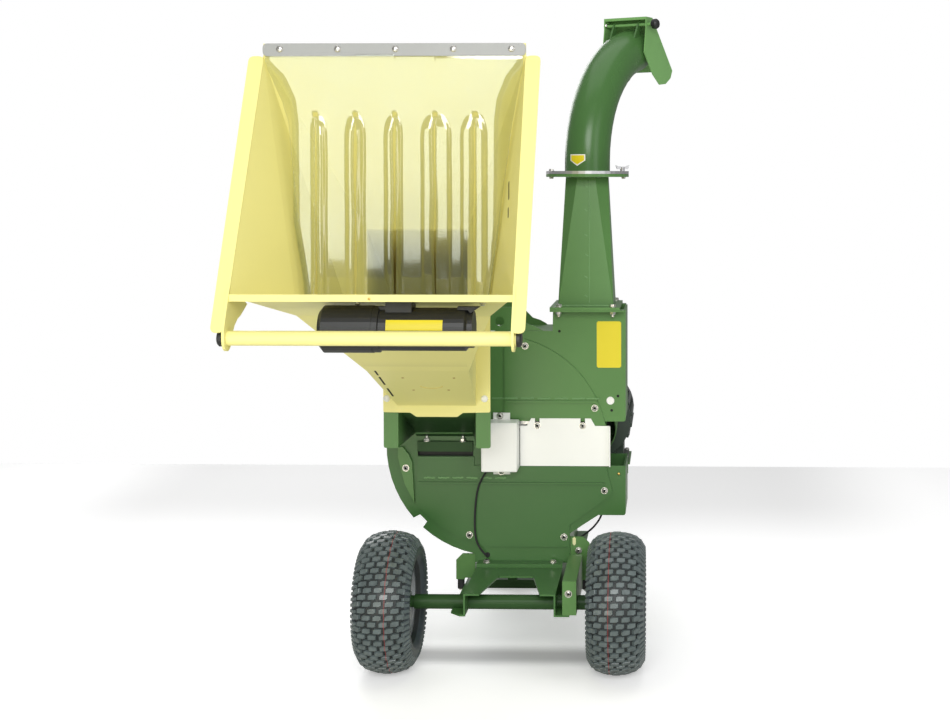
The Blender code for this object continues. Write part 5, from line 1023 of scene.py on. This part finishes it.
# %% The curtain's sheet and its folds
CURTAIN_TOP = 1.7730
CURTAIN_LENGTH = 0.630
CURTAIN_HALF = 0.3175
CURTAIN_Y = -0.6722
HOPPER_X = -0.188
SLITS = [-0.1928, -0.0956, 0.0018, 0.1007, 0.1984]
STRIPS = len(SLITS) + 1
SLIT_TOP = 0.1735
DROPS = (0.0, 0.045, 0.085, 0.139, 0.190, 0.44, 0.63)
FOLDS = {
    -1: list(zip(DROPS, (0.3175, 0.316, 0.276, 0.252, 0.246, 0.244, 0.214))),
    1: list(zip(DROPS, (0.3175, 0.316, 0.284, 0.262, 0.256, 0.254, 0.240))),
}
TURNS = list(zip(DROPS, (0.0, 20.0, 42.0, 58.0, 68.0, 80.0, 84.0)))


def along_table(table, drop):
    """The value of a table at this drop below the clamp, in straight steps between its rows."""
    for (a, low), (b, high) in zip(table, table[1:]):
        if drop <= b:
            share = (drop - a) / (b - a)
            return low + (high - low) * share
    return table[-1][1]


def clamped(value):
    """A value held between 0 and 1."""
    return min(1.0, max(0.0, value))


def soft(value):
    """A step from 0 to 1 with soft ends."""
    value = clamped(value)
    return value * value * (3 - 2 * value)


print("a third of the way down, the left side is folded at", round(along_table(FOLDS[-1], 0.21), 3), "m")

# %% How the strips curl beside their slits
CURL = 0.0235
CURL_STARTS = SLIT_TOP - 0.007
CURL_GROWTH = 0.066
NARROWEST = 0.002
FADES_OUT = 1.25
EDGE_SHARE = 0.42
WAVE_HEIGHT = 0.18
WAVE_TURN = 23.0


def curl_angle(distance, drop, kind):
    """How far a strip turns out of the sheet's plane, at this distance from its slit."""
    rise = clamped((drop - CURL_STARTS) / CURL_GROWTH)
    reach = CURL * math.sqrt(max(0.0, 1 - (1 - rise) ** 2)) * kind["reach"]
    if reach < NARROWEST or distance > reach * FADES_OUT:
        return 0.0
    share = distance / reach
    step = math.exp(-((share - kind["at"]) / kind["width"]) ** 2)
    edge = soft((EDGE_SHARE - share) / EDGE_SHARE)
    ease = soft(rise * 1.4)
    wave = 1.0 + WAVE_HEIGHT * math.sin(drop * WAVE_TURN + kind["phase"])
    return math.radians(ease * wave * (kind["step"] * step + kind["edge"] * edge))


LEFT_OF_SLIT = [
    {"reach": 0.42, "at": 0.70, "width": 0.30, "step": -46.0, "edge": 10.0, "phase": 0.3},
    {"reach": 1.00, "at": 0.86, "width": 0.15, "step": -50.0, "edge": 62.0, "phase": 1.1},
    {"reach": 1.05, "at": 0.86, "width": 0.16, "step": -50.0, "edge": 62.0, "phase": 2.4},
    {"reach": 1.45, "at": 0.90, "width": 0.10, "step": -44.0, "edge": 60.0, "phase": 3.0},
    {"reach": 1.50, "at": 0.90, "width": 0.10, "step": -42.0, "edge": 64.0, "phase": 4.2},
]
RIGHT_OF_SLIT = [
    {"reach": 1.10, "at": 0.72, "width": 0.26, "step": 50.0, "edge": -20.0, "phase": 0.9},
    {"reach": 0.95, "at": 0.62, "width": 0.36, "step": 52.0, "edge": 40.0, "phase": 2.0},
    {"reach": 0.70, "at": 0.60, "width": 0.36, "step": 52.0, "edge": 30.0, "phase": 3.3},
    {"reach": 1.60, "at": 0.91, "width": 0.09, "step": 42.0, "edge": -8.0, "phase": 4.6},
    {"reach": 1.10, "at": 0.88, "width": 0.13, "step": 46.0, "edge": -8.0, "phase": 5.2},
]
print("curls beside", len(LEFT_OF_SLIT), "slits")

# %% One level line of a strip
STRIP_EDGES = list(zip([-CURTAIN_HALF, *SLITS], [*SLITS, CURTAIN_HALF]))
OUTER_MIDDLES = {0: -0.222, STRIPS - 1: 0.234}
FOLDED_SIDES = {0: -1, STRIPS - 1: 1}
FOLD_WIDTH = 0.030
FOLD_LEAD = 0.012
WALK_STEP = 0.0020
TILT = 0.0035
TILT_DEPTH = 0.030
RIPPLE = 0.0016
SWAY = 0.0016


def strip_row(index, drop, marks):
    """One level line of a strip: x and depth for each mark, walked out from the strip's middle."""
    low, high = STRIP_EDGES[index]
    middle = OUTER_MIDDLES.get(index, (low + high) / 2)
    tilt = soft(drop / TILT_DEPTH) * TILT

    def angle(m):
        """How far the sheet is turned here, at this distance across it."""
        turn = 0.0
        if index < STRIPS - 1:
            turn += curl_angle(high - m, drop, LEFT_OF_SLIT[index])
        if index > 0:
            turn += curl_angle(m - low, drop, RIGHT_OF_SLIT[index - 1])
        side = FOLDED_SIDES.get(index)
        if side:
            fold = along_table(FOLDS[side], drop)
            over = soft((side * m - fold + FOLD_LEAD) / FOLD_WIDTH)
            turn += side * math.radians(along_table(TURNS, drop)) * over
        return turn

    def walk(target):
        """Where a place of the flat sheet comes to lie."""
        x, y = middle, 0.0
        steps = max(2, int(abs(target - middle) / WALK_STEP))
        size = (target - middle) / steps
        for step in range(steps):
            turn = angle(middle + (step + 0.5) * size)
            x += math.cos(turn) * size
            y += math.sin(turn) * size
        return x, y

    ripple = RIPPLE * math.exp(-((drop - 0.031 - 0.010 * math.sin(middle * 6)) / 0.0035) ** 2)
    sway = SWAY * soft((drop - 0.2) / 0.4) * math.sin(index * 2.1 + 0.4)
    row = []
    for mark in marks:
        x, y = walk(low + (high - low) * mark)
        row.append((x, y - tilt - ripple + sway, low + (high - low) * mark))
    return row


print(STRIPS, "strips")

# %% Holes, and the hopper's walls
HOLE = 0.0052
HOLE_PULL = 0.0016
HOLE_CUT = 0.0010
WALL_CLEARANCE = 0.005
FOLD_CLEARANCE = 0.006
FOLDED_BACK = 0.010
FRONT_SHARE = 0.86
MIDDLE_SHARE = 0.3


def round_hole(m, drop):
    """How far a place moves so that the nearby slit ends in a round hole, and whether it is cut out."""
    move, cut = Vector((0.0, 0.0)), False
    for slit in SLITS:
        away = Vector((m - slit, drop - SLIT_TOP))
        if away.length < HOLE + HOLE_PULL:
            cut = cut or away.length < HOLE - HOLE_CUT
            if away.length > 1e-5:
                move = away * (HOLE / away.length) - away
    return move, cut


def before_wall(walls, start, place, clearance):
    """The place, or the last one on the way to it that is clear of a wall."""
    way = place - start
    hit, _, _, far = walls.ray_cast(start, way.normalized(), way.length + clearance)
    if hit is None:
        return place
    return start + way.normalized() * max(0.0, far - clearance)


def inside_hopper(walls, x, y, drop):
    """A place of the sheet, kept clear of the hopper's walls as seen from the front and from the middle."""
    z = CURTAIN_TOP - drop
    place = at(HOPPER_X + x, CURTAIN_Y + y, z)
    front = at(HOPPER_X + x * FRONT_SHARE, CURTAIN_Y - 0.004, z)
    if y > FOLDED_BACK and (place - front).length > 0.002:
        place = before_wall(walls, front, place, FOLD_CLEARANCE)
    middle = at(HOPPER_X + x * MIDDLE_SHARE, place.y - AXLE.y, z)
    return before_wall(walls, middle, place, WALL_CLEARANCE)


hopper = nodes["hopper"].data
hopper_walls = BVHTree.FromPolygons([v.co for v in hopper.vertices], [p.vertices[:] for p in hopper.polygons])
print("the hopper has", len(hopper.polygons), "faces to keep clear of")

# %% The curtain
CURTAIN_THICKNESS = 0.0020
UNCUT_MARGIN = 0.002
JOIN_DISTANCE = 0.0005
ROWS = 112
COLUMNS = 34


def make_curtain():
    """Six strips, each a grid, joined above the slits into one sheet."""
    work = bmesh.new()
    marks = [column / COLUMNS for column in range(COLUMNS + 1)]
    for index in range(STRIPS):
        verts = {}
        gone = set()
        for level in range(ROWS + 1):
            drop = CURTAIN_LENGTH * level / ROWS
            for column, (x, y, m) in enumerate(strip_row(index, drop, marks)):
                move, cut = round_hole(m, drop)
                if cut:
                    gone.add((level, column))
                place = inside_hopper(hopper_walls, x + move.x, y, drop + move.y)
                verts[level, column] = work.verts.new(place)
        for level in range(ROWS):
            for column in range(COLUMNS):
                ring = [(level, column), (level + 1, column), (level + 1, column + 1), (level, column + 1)]
                if gone.isdisjoint(ring):
                    work.faces.new([verts[corner] for corner in ring])
    kept = len(work.faces)
    join = [v for v in work.verts if v.co.z > CURTAIN_TOP - SLIT_TOP + UNCUT_MARGIN]
    bmesh.ops.remove_doubles(work, verts=join, dist=JOIN_DISTANCE)
    loose = [v for v in work.verts if not v.link_faces]
    bmesh.ops.delete(work, geom=loose, context="VERTS")
    outward(work)
    area = sum(face.calc_area() for face in work.faces)
    piece = show_work("strip_curtain", work, clear_pvc(), "machine")
    thick = piece.modifiers.new("thickness", "SOLIDIFY")
    thick.thickness = CURTAIN_THICKNESS
    thick.offset = 0.0
    piece.data.shade_smooth()
    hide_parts("curtain")
    print("curtain", kept, "faces, area", round(area, 3), "of", round(CURTAIN_HALF * 2 * CURTAIN_LENGTH, 3))


make_curtain()

# %% [markdown]
# ## Weld beads and the hopper's seams
#
# Sheet steel is joined by beads of weld, laid by hand as a row of overlapping drops. One drop is flattened
# and copied along each seam with small random turns, so that a bead looks laid and not extruded. The hopper's
# panels meet in folded corners that are only tacked, and a few narrow slots let its tabs through.

# %% One drop of weld, and rows of them
DROP = 0.0030
DROP_HEIGHT = 0.0014
DROP_FOOT = -0.0006
FULL_SPIN = 6.0
RNG = random.Random(7)
weld_drop = turned_part("weld_drop", ([
    (0, DROP_FOOT), (DROP, DROP_FOOT), (DROP * 0.92, DROP_HEIGHT * 0.45), (DROP * 0.6, DROP_HEIGHT * 0.85),
    (0, DROP_HEIGHT),
], 8))


def bead(start, stop, out, pitch=0.0026, jitter=0.0004):
    """Points along a straight seam, each a little off the line."""
    count = max(2, int((stop - start).length / pitch))
    along = (stop - start).normalized()
    across = out.cross(along)
    spots = []
    for index in range(count + 1):
        place = start.lerp(stop, index / count) + across * RNG.uniform(-jitter, jitter)
        spots.append((place, out, along))
    return spots


print("one drop is", DROP * 2000, "mm wide")

# %% The beads
UPPER_SEAM = 0.7650
LOWER_SEAM = 0.5185
slope = Vector((0, -0.43, -0.90)).normalized()
infeed_weld = bead(at(-0.2920, 0.2088, 0.6613), at(-0.1191, 0.2052, 0.6626), slope, 0.0036, 0.0016)
spread("infeed_weld_bead", weld_drop, infeed_weld, weld_green, "machine", spin=FULL_SPIN, size=1.15)
casing_weld = []
for x in (-0.020, 0.030, 0.082, 0.135, 0.188, 0.232):
    stop = at(x + 0.036, PLATE_FACE, UPPER_SEAM + 0.0005)
    casing_weld += bead(at(x, PLATE_FACE, UPPER_SEAM), stop, OUT, 0.0030, 0.0010)
left, right = at(-0.060, CASING_FACE, UPPER_SEAM), at(-0.026, CASING_FACE, UPPER_SEAM)
casing_weld += bead(left, right, OUT, 0.0030, 0.0010)
for x in (-0.270, -0.226, -0.182, -0.138, -0.094, -0.050):
    stop = at(x + 0.030, PLATE_FACE, LOWER_SEAM)
    casing_weld += bead(at(x, PLATE_FACE, LOWER_SEAM), stop, OUT, 0.0030, 0.0010)
spread("casing_weld_beads", weld_drop, casing_weld, weld_green, "machine", spin=FULL_SPIN)
lean = Vector((0, -1, 0.07)).normalized()
seam = bead(at(0.2374, 0.2802, 1.4370), at(0.2386, 0.2535, 1.0600), lean, 0.0024, 0.0002)
spread("tower_seam", weld_drop, seam, weld_green, "machine", spin=FULL_SPIN, size=0.55)
foot = bead(at(0.1400, 0.2520, 1.0500), at(0.3160, 0.2520, 1.0500), lean, 0.0030, 0.0004)
spread("tower_foot_weld", weld_drop, foot, weld_green, "machine", spin=FULL_SPIN, size=0.8)
stitch_places = [
    (0.2269, 0.2790, 1.4192), (0.2271, 0.2737, 1.3449), (0.2274, 0.2682, 1.2676),
    (0.2307, 0.2638, 1.2059), (0.2279, 0.2589, 1.1382), (0.2281, 0.2547, 1.0797),
]
stitches = []
for x, y, z in stitch_places:
    stitches += bead(at(x - 0.003, y, z + 0.002), at(x + 0.003, y, z - 0.002), lean, 0.0020, 0.0003)
spread("tower_stitches", weld_drop, stitches, weld_green, "machine", spin=FULL_SPIN, size=0.7)


# %% Narrow slots and small holes of the hopper
SLOT_FOOT = 0.0001
SLOT_TOP = 0.0004


def slot(name, start, stop, out, width):
    """A thin strip with round ends that stands for a slot cut in the sheet; its dark finish is painted shade.
    """
    out = out.normalized()
    along = (stop - start).normalized()
    across = out.cross(along)
    work = bmesh.new()
    outline = []
    for centre, turn in ((stop, 0.0), (start, math.pi)):
        for step in range(7):
            angle = turn - math.pi / 2 + math.pi * step / 6
            outline.append(centre + (along * math.cos(angle) + across * math.sin(angle)) * width / 2)
    low = [work.verts.new(p + out * SLOT_FOOT) for p in outline]
    high = [work.verts.new(p + out * SLOT_TOP) for p in outline]
    work.faces.new(high)
    work.faces.new(list(reversed(low)))
    wall(work, low, high)
    outward(work)
    show_work(name, work, gap_painted_shade, "machine")


under_pan = Vector((0, -0.41, -0.91))
right_wall = Vector((-0.95, -0.28, 0.14))
slots = [
    ("hopper_slot_upper", (0.0955, -0.6959, 1.4311), (0.0988, -0.7262, 1.3950), right_wall, 0.009),
    ("hopper_slot_lower", (0.0988, -0.7402, 1.3688), (0.1004, -0.7550, 1.3511), right_wall, 0.008),
    ("pan_slot_a", (-0.3028, -0.3548, 0.9265), (-0.3017, -0.3207, 0.9112), under_pan, 0.005),
    ("pan_slot_b", (-0.3014, -0.3034, 0.9034), (-0.2998, -0.2371, 0.8736), under_pan, 0.005),
    ("pan_slot_c", (-0.2994, -0.2009, 0.8573), (-0.2974, -0.1311, 0.8260), under_pan, 0.005),
]
for name, start, stop, out, width in slots:
    slot(name, at(*start), at(*stop), out, width)
pan_places = [
    (-0.2390, -0.2970, 0.9005), (-0.0992, -0.2967, 0.9004), (-0.2287, -0.1879, 0.8515),
    (-0.1302, -0.1890, 0.8520),
]
pan_holes = [(at(*place), under_pan) for place in pan_places]
spread("pan_holes", hole_rim, pan_holes, brass, "machine", size=0.9)
spread("lip_rivet", pan_head, [(at(-0.1910, -0.9670, 1.1704), OUT)], brass, "machine", size=0.40)
under_lip = Vector((0, -0.25, -0.97))
lip_spots = [(at(-0.2355, -0.8805, 1.1551), under_lip), (at(0.0542, -0.8746, 1.1535), under_lip)]
spread("lip_bolts", small_bolt, lip_spots, bolt_steel, "machine", spin=1.0)
ridge = []
for step in range(25):
    angle = math.pi * step / 24
    across = 0.0292 * math.cos(angle)
    down = 0.020 * math.sin(angle)
    ridge.append((at(-0.1730 + across, -0.2235 + down * 0.91, 0.8672 - down * 0.41), under_pan))
spread("pan_pressed_arc", weld_drop, ridge, weld_cream, "machine", spin=FULL_SPIN)

# %% The black holders above the manual tube
HOLDER = [(0.000, 1.1480), (0.052, 1.1480), (0.030, 1.1330), (0.024, 1.1400), (0.000, 1.1400)]
for name, left in (("tube_holder_left", -0.182), ("tube_holder_right", 0.000)):
    work = bmesh.new()
    front, back = [[work.verts.new(at(left + x, y, z)) for x, z in HOLDER] for y in (-0.9080, -0.8860)]
    work.faces.new(front)
    work.faces.new(list(reversed(back)))
    wall(work, front, back)
    outward(work)
    show_work(name, work, black_iron, "machine")
print("two holders")

# %% Nuts under the flanges and round the swivel ring
flange_nuts = [(at(x, 0.216, 1.0365), DOWN) for x in (0.147, 0.312)]
spread("flange_nuts", nut, flange_nuts, bolt_steel, "machine", spin=1.0)
ring_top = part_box("swivel_ring_upper")[1].z
ring_head = [(at(0.114, TOWER_Y, ring_top), UP)]
spread("ring_bolt_head", large_bolt, ring_head, bolt_steel, "chute", spin=1.0, size=0.8)
ring_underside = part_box("swivel_ring_lower")[0].z
ring_nuts = [(at(x, TOWER_Y, ring_underside), DOWN) for x in (0.114, 0.341)]
spread("ring_nuts", small_bolt, ring_nuts, bolt_steel, "machine", spin=1.0)
flap_spots = [(at(0.2747, 0.6071, 1.9482), Vector((0.89, -0.45, 0)))]
spread("flap_hinge_bolt", small_bolt, flap_spots, bolt_steel, "deflector", spin=1.0)

# %% [markdown]
# ## Wheels' small parts and the back of the machine
#
# Each rim is two pressed halves held by four bolts, with a rubber valve stem beside them, and a flat nut
# keeps the wheel on its stub. Behind the casing sit the motor and the switch: the fan cowl breathes through
# a wire guard, the terminal box has a lid with four screws, and the switch box has two collared buttons and
# the inlet for the lead. The motor and the switch aren't in the photograph, so they keep to what such
# machines usually have.

# %% Rings and rods of wire
def closed_lathe(name, profile, sides):
    """A turned ring: the profile closes on itself away from the axis."""
    work = bmesh.new()
    lathe(work, [*profile, profile[0]], sides)
    bmesh.ops.remove_doubles(work, verts=work.verts, dist=1e-6)
    outward(work)
    return pattern_part(name, work)


WIRE_SIDES = 8
HOOP_STEPS = 40


def add_rod(work, start, stop, radius):
    """A straight round wire between two places."""
    along = (stop - start).normalized()
    side = along.orthogonal().normalized()
    other = along.cross(side)
    rings = []
    for centre in (start, stop):
        rings.append([
            work.verts.new(centre + (side * math.cos(a) + other * math.sin(a)) * radius)
            for a in full_turn(WIRE_SIDES)
        ])
    wall(work, *rings)
    work.faces.new(list(reversed(rings[0])))
    work.faces.new(rings[1])


def add_hoop(work, centre, axis, radius, wire):
    """A closed ring of round wire about an axis."""
    side = axis.orthogonal().normalized()
    other = axis.cross(side)
    rings = []
    for angle in full_turn(HOOP_STEPS):
        radial = side * math.cos(angle) + other * math.sin(angle)
        ring = []
        for a in full_turn(WIRE_SIDES):
            place = centre + radial * (radius + wire * math.cos(a)) + axis * wire * math.sin(a)
            ring.append(work.verts.new(place))
        rings.append(ring)
    for here, there in zip(rings, rings[1:] + rings[:1]):
        wall(work, here, there)


print("wire has", WIRE_SIDES, "sides")


# %% Rim bolts, valves and hub nuts
RIM_BOLT_CIRCLE = 0.060
VALVE_CIRCLE = 0.0865
VALVE_ANGLE = 1.9
valve = turned_part("valve", ([
    (0, -0.002), (0.0065, -0.002), (0.0060, 0.004), (0.0042, 0.008), (0.0040, 0.020), (0.0046, 0.021),
    (0.0046, 0.029), (0.0036, 0.031), (0, 0.031),
], 16))
hub_nut = closed_lathe("hub_nut", [
    (0.0127, 0.0), (0.0200, 0.0), (0.0200, 0.0080), (0.0180, 0.0100), (0.0127, 0.0100),
], 6)
for side, name in ((-1, "left"), (1, "right")):
    hub = at(side * WHEEL_X, 0.0, TYRE_RADIUS)
    away = Vector((side, 0, 0))
    outer, inner = [], []
    for angle in full_turn(4, 0.5):
        radial = Vector((0, math.cos(angle), math.sin(angle)))
        spot = hub + radial * RIM_BOLT_CIRCLE
        outer.append((spot + away * 0.0243, (away + radial * 0.30).normalized()))
        inner.append((spot + away * 0.0198, (-away - radial * 0.30).normalized()))
    spread(f"rim_bolts_{name}", large_bolt, outer, bolt_steel, "wheel_" + name, spin=1.0)
    spread(f"rim_nuts_{name}", nut, inner, bolt_steel, "wheel_" + name, spin=1.0, size=0.9)
    valve_way = Vector((0, math.cos(VALVE_ANGLE), math.sin(VALVE_ANGLE)))
    valve_spot = hub + valve_way * VALVE_CIRCLE + away * 0.022
    spread(f"valve_{name}", valve, [(valve_spot, away)], black_rubber, "wheel_" + name)
    spread(f"hub_nut_{name}", hub_nut, [(hub + away * 0.0612, away)], bolt_steel, "machine")

# %% Motor and its fan guard
WIRE = 0.0012
cowl_low, cowl_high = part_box("motor_fan_cowl")
cowl_middle = (cowl_low + cowl_high) / 2
guard_middle = Vector((cowl_middle.x, cowl_high.y - WIRE, cowl_middle.z))
spokes_middle = guard_middle + OUT * 0.0014
guard = bmesh.new()
for radius in (0.016, 0.028, 0.040, 0.0505):
    add_hoop(guard, guard_middle, BACK, radius, WIRE)
for angle in full_turn(8):
    direction = Vector((math.cos(angle), 0, math.sin(angle)))
    add_rod(guard, spokes_middle + direction * 0.015, spokes_middle + direction * 0.0515, WIRE)
outward(guard)
show_work("fan_guard", guard, bolt_steel, "machine")
cowl_screws = []
cowl_radius = (cowl_high.x - cowl_low.x) / 2
for angle in full_turn(4, 0.5):
    direction = Vector((math.cos(angle), 0, math.sin(angle)))
    place = Vector((cowl_middle.x, cowl_low.y + 0.012, cowl_middle.z)) + direction * cowl_radius
    cowl_screws.append((place - direction * 0.0003, direction))
spread("cowl_screws", pan_head, cowl_screws, bolt_steel, "machine", size=0.6)
SCREW_INSET = 0.009
lid_low, lid_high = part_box("motor_terminal_box")
lid_screws = []
for x in (lid_low.x + SCREW_INSET, lid_high.x - SCREW_INSET):
    for y in (lid_low.y + SCREW_INSET, lid_high.y - SCREW_INSET):
        lid_screws.append((Vector((x, y, lid_high.z)), UP))
spread("terminal_lid_screws", pan_head, lid_screws, bolt_steel, "machine", size=0.45)
feet_bolts = [(at(x, y, 0.503), UP) for x in (0.1545, 0.3385) for y in (0.675, 0.805)]
spread("motor_foot_bolts", small_bolt, feet_bolts, bolt_steel, "machine", spin=1.0)

# %% Switch box
box_low, box_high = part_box("switch_box")
box_middle = (box_low + box_high) / 2
box_screws = []
for x in (box_low.x + SCREW_INSET, box_high.x - SCREW_INSET):
    for z in (box_low.z + SCREW_INSET, box_high.z - SCREW_INSET):
        box_screws.append((Vector((x, box_high.y, z)), BACK))
spread("switch_box_screws", pan_head, box_screws, bolt_steel, "machine", size=0.42)
for name, finish in (("start_button", black_plastic), ("stop_button", label_yellow)):
    low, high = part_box(name)
    middle = (low + high) / 2
    radius = (high.x - low.x) / 2
    collar = closed_lathe(name + "_collar_part", [
        (radius + 0.0012, 0.0), (radius + 0.0050, 0.0), (radius + 0.0044, 0.0030), (radius + 0.0018, 0.0030),
    ], 32)
    spread(name + "_collar", collar, [(Vector((middle.x, box_high.y, middle.z)), BACK)], finish, "machine")
inlet = turned_part("inlet", ([
    (0, 0), (0.026, 0), (0.026, 0.004), (0.0205, 0.006), (0.0195, 0.034), (0.0165, 0.034), (0.0160, 0.010),
    (0, 0.010),
], 32))
inlet_spot = Vector((box_middle.x, box_middle.y, box_low.z))
spread("power_inlet", inlet, [(inlet_spot, DOWN)], black_plastic, "machine")

# %% Bolts through the rubber buffers
BRACKET_FLOOR = 0.2073
buffer_spots, buffer_feet = [], []
for name in ("rubber_buffer_left", "rubber_buffer_right"):
    low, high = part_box(name)
    middle = (low + high) / 2
    buffer_spots.append((Vector((middle.x, middle.y, BRACKET_FLOOR)), UP))
    buffer_feet.append((Vector((middle.x, middle.y, low.z)), DOWN))
spread("buffer_nuts", nut, buffer_spots, bolt_steel, "machine", spin=1.0, size=0.85)
spread("buffer_bolts", small_bolt, buffer_feet, bolt_steel, "machine", spin=1.0)

# %% [markdown]
# ## Labels
#
# The machine wears a few stickers, each a plain patch of vinyl, about a third of a millimetre thick. Those
# on flat sheet have rounded corners, and those on the tubes follow the tube.

# %% Flat labels
VINYL = 0.0003
CORNER = 0.003


def front_patch(name, left, right, low, high, y, finish):
    """A thin plate with rounded corners on a sheet that faces the viewer."""
    corners = [at(left, y, low), at(right, y, low), at(right, y, high), at(left, y, high)]
    work = bmesh.new()
    face = work.faces.new([work.verts.new(corner) for corner in corners])
    made = bmesh.ops.extrude_face_region(work, geom=[face])
    top = [item for item in made["geom"] if isinstance(item, bmesh.types.BMVert)]
    bmesh.ops.translate(work, verts=top, vec=OUT * VINYL)
    upright = []
    for edge in work.edges:
        direction = (edge.verts[0].co - edge.verts[1].co).normalized()
        if abs(direction.dot(OUT)) > 0.9:
            upright.append(edge)
    bmesh.ops.bevel(work, geom=upright, offset=CORNER, segments=3, affect="EDGES")
    outward(work)
    show_work(name, work, finish, "machine")


front_patch("casing_label", 0.262, 0.337, 0.860, 1.003, 0.2399, label_yellow)
front_patch("bracket_label", 0.1865, 0.1965, 0.3080, 0.3335, 0.2479, label_pale)
print("two flat labels")


# %% Labels on the tubes
def wrapped(name, rows, finish, body):
    """A label on rows of places, each row two places long."""
    work = bmesh.new()
    rows = [[work.verts.new(place) for place in row] for row in rows]
    for lower, upper in zip(rows, rows[1:]):
        work.faces.new((lower[0], lower[1], upper[1], upper[0]))
    piece = show_work(name, work, finish, body)
    thick = piece.modifiers.new("thickness", "SOLIDIFY")
    thick.thickness = VINYL
    thick.offset = 1.0


def tube_patch(name, x_low, x_high, centre_y, centre_z, radius, start, stop):
    """A label that follows a level tube along X, from one angle above its front to another."""
    rows = []
    for step in range(11):
        angle = math.radians(start + (stop - start) * step / 10)
        y = centre_y - radius * math.cos(angle)
        z = centre_z + radius * math.sin(angle)
        rows.append([at(x_low, y, z), at(x_high, y, z)])
    wrapped(name, rows, label_yellow, "machine")


def pipe_patch(name, radius, left, right, top, shoulder, tip, finish):
    """A pennant-shaped sticker on the chute's upright pipe: level top, pointed foot."""
    rows = []
    for step in range(13):
        share = step / 12
        angle = math.radians(left + (right - left) * share)
        x = TOWER_X + radius * math.sin(angle)
        y = TOWER_Y - radius * math.cos(angle)
        foot = shoulder - (shoulder - tip) * (1 - abs(2 * share - 1))
        rows.append([at(x, y, foot), at(x, y, top)])
    wrapped(name, rows, finish, "chute")


tube_patch("tube_label", -0.160, -0.030, -0.889, 1.0945, 0.0502, 2.0, 30.0)
pipe_patch("pipe_sticker_edge", 0.0716, -44.0, -2.0, 1.5175, 1.4985, 1.4815, white_plastic)
pipe_patch("pipe_sticker", 0.0720, -41.0, -5.0, 1.5145, 1.4990, 1.4860, label_yellow)
print("three labels that follow a tube")

# %% Take the copied-from parts away
for item in pattern_parts:
    bpy.data.objects.remove(item, do_unlink=True)
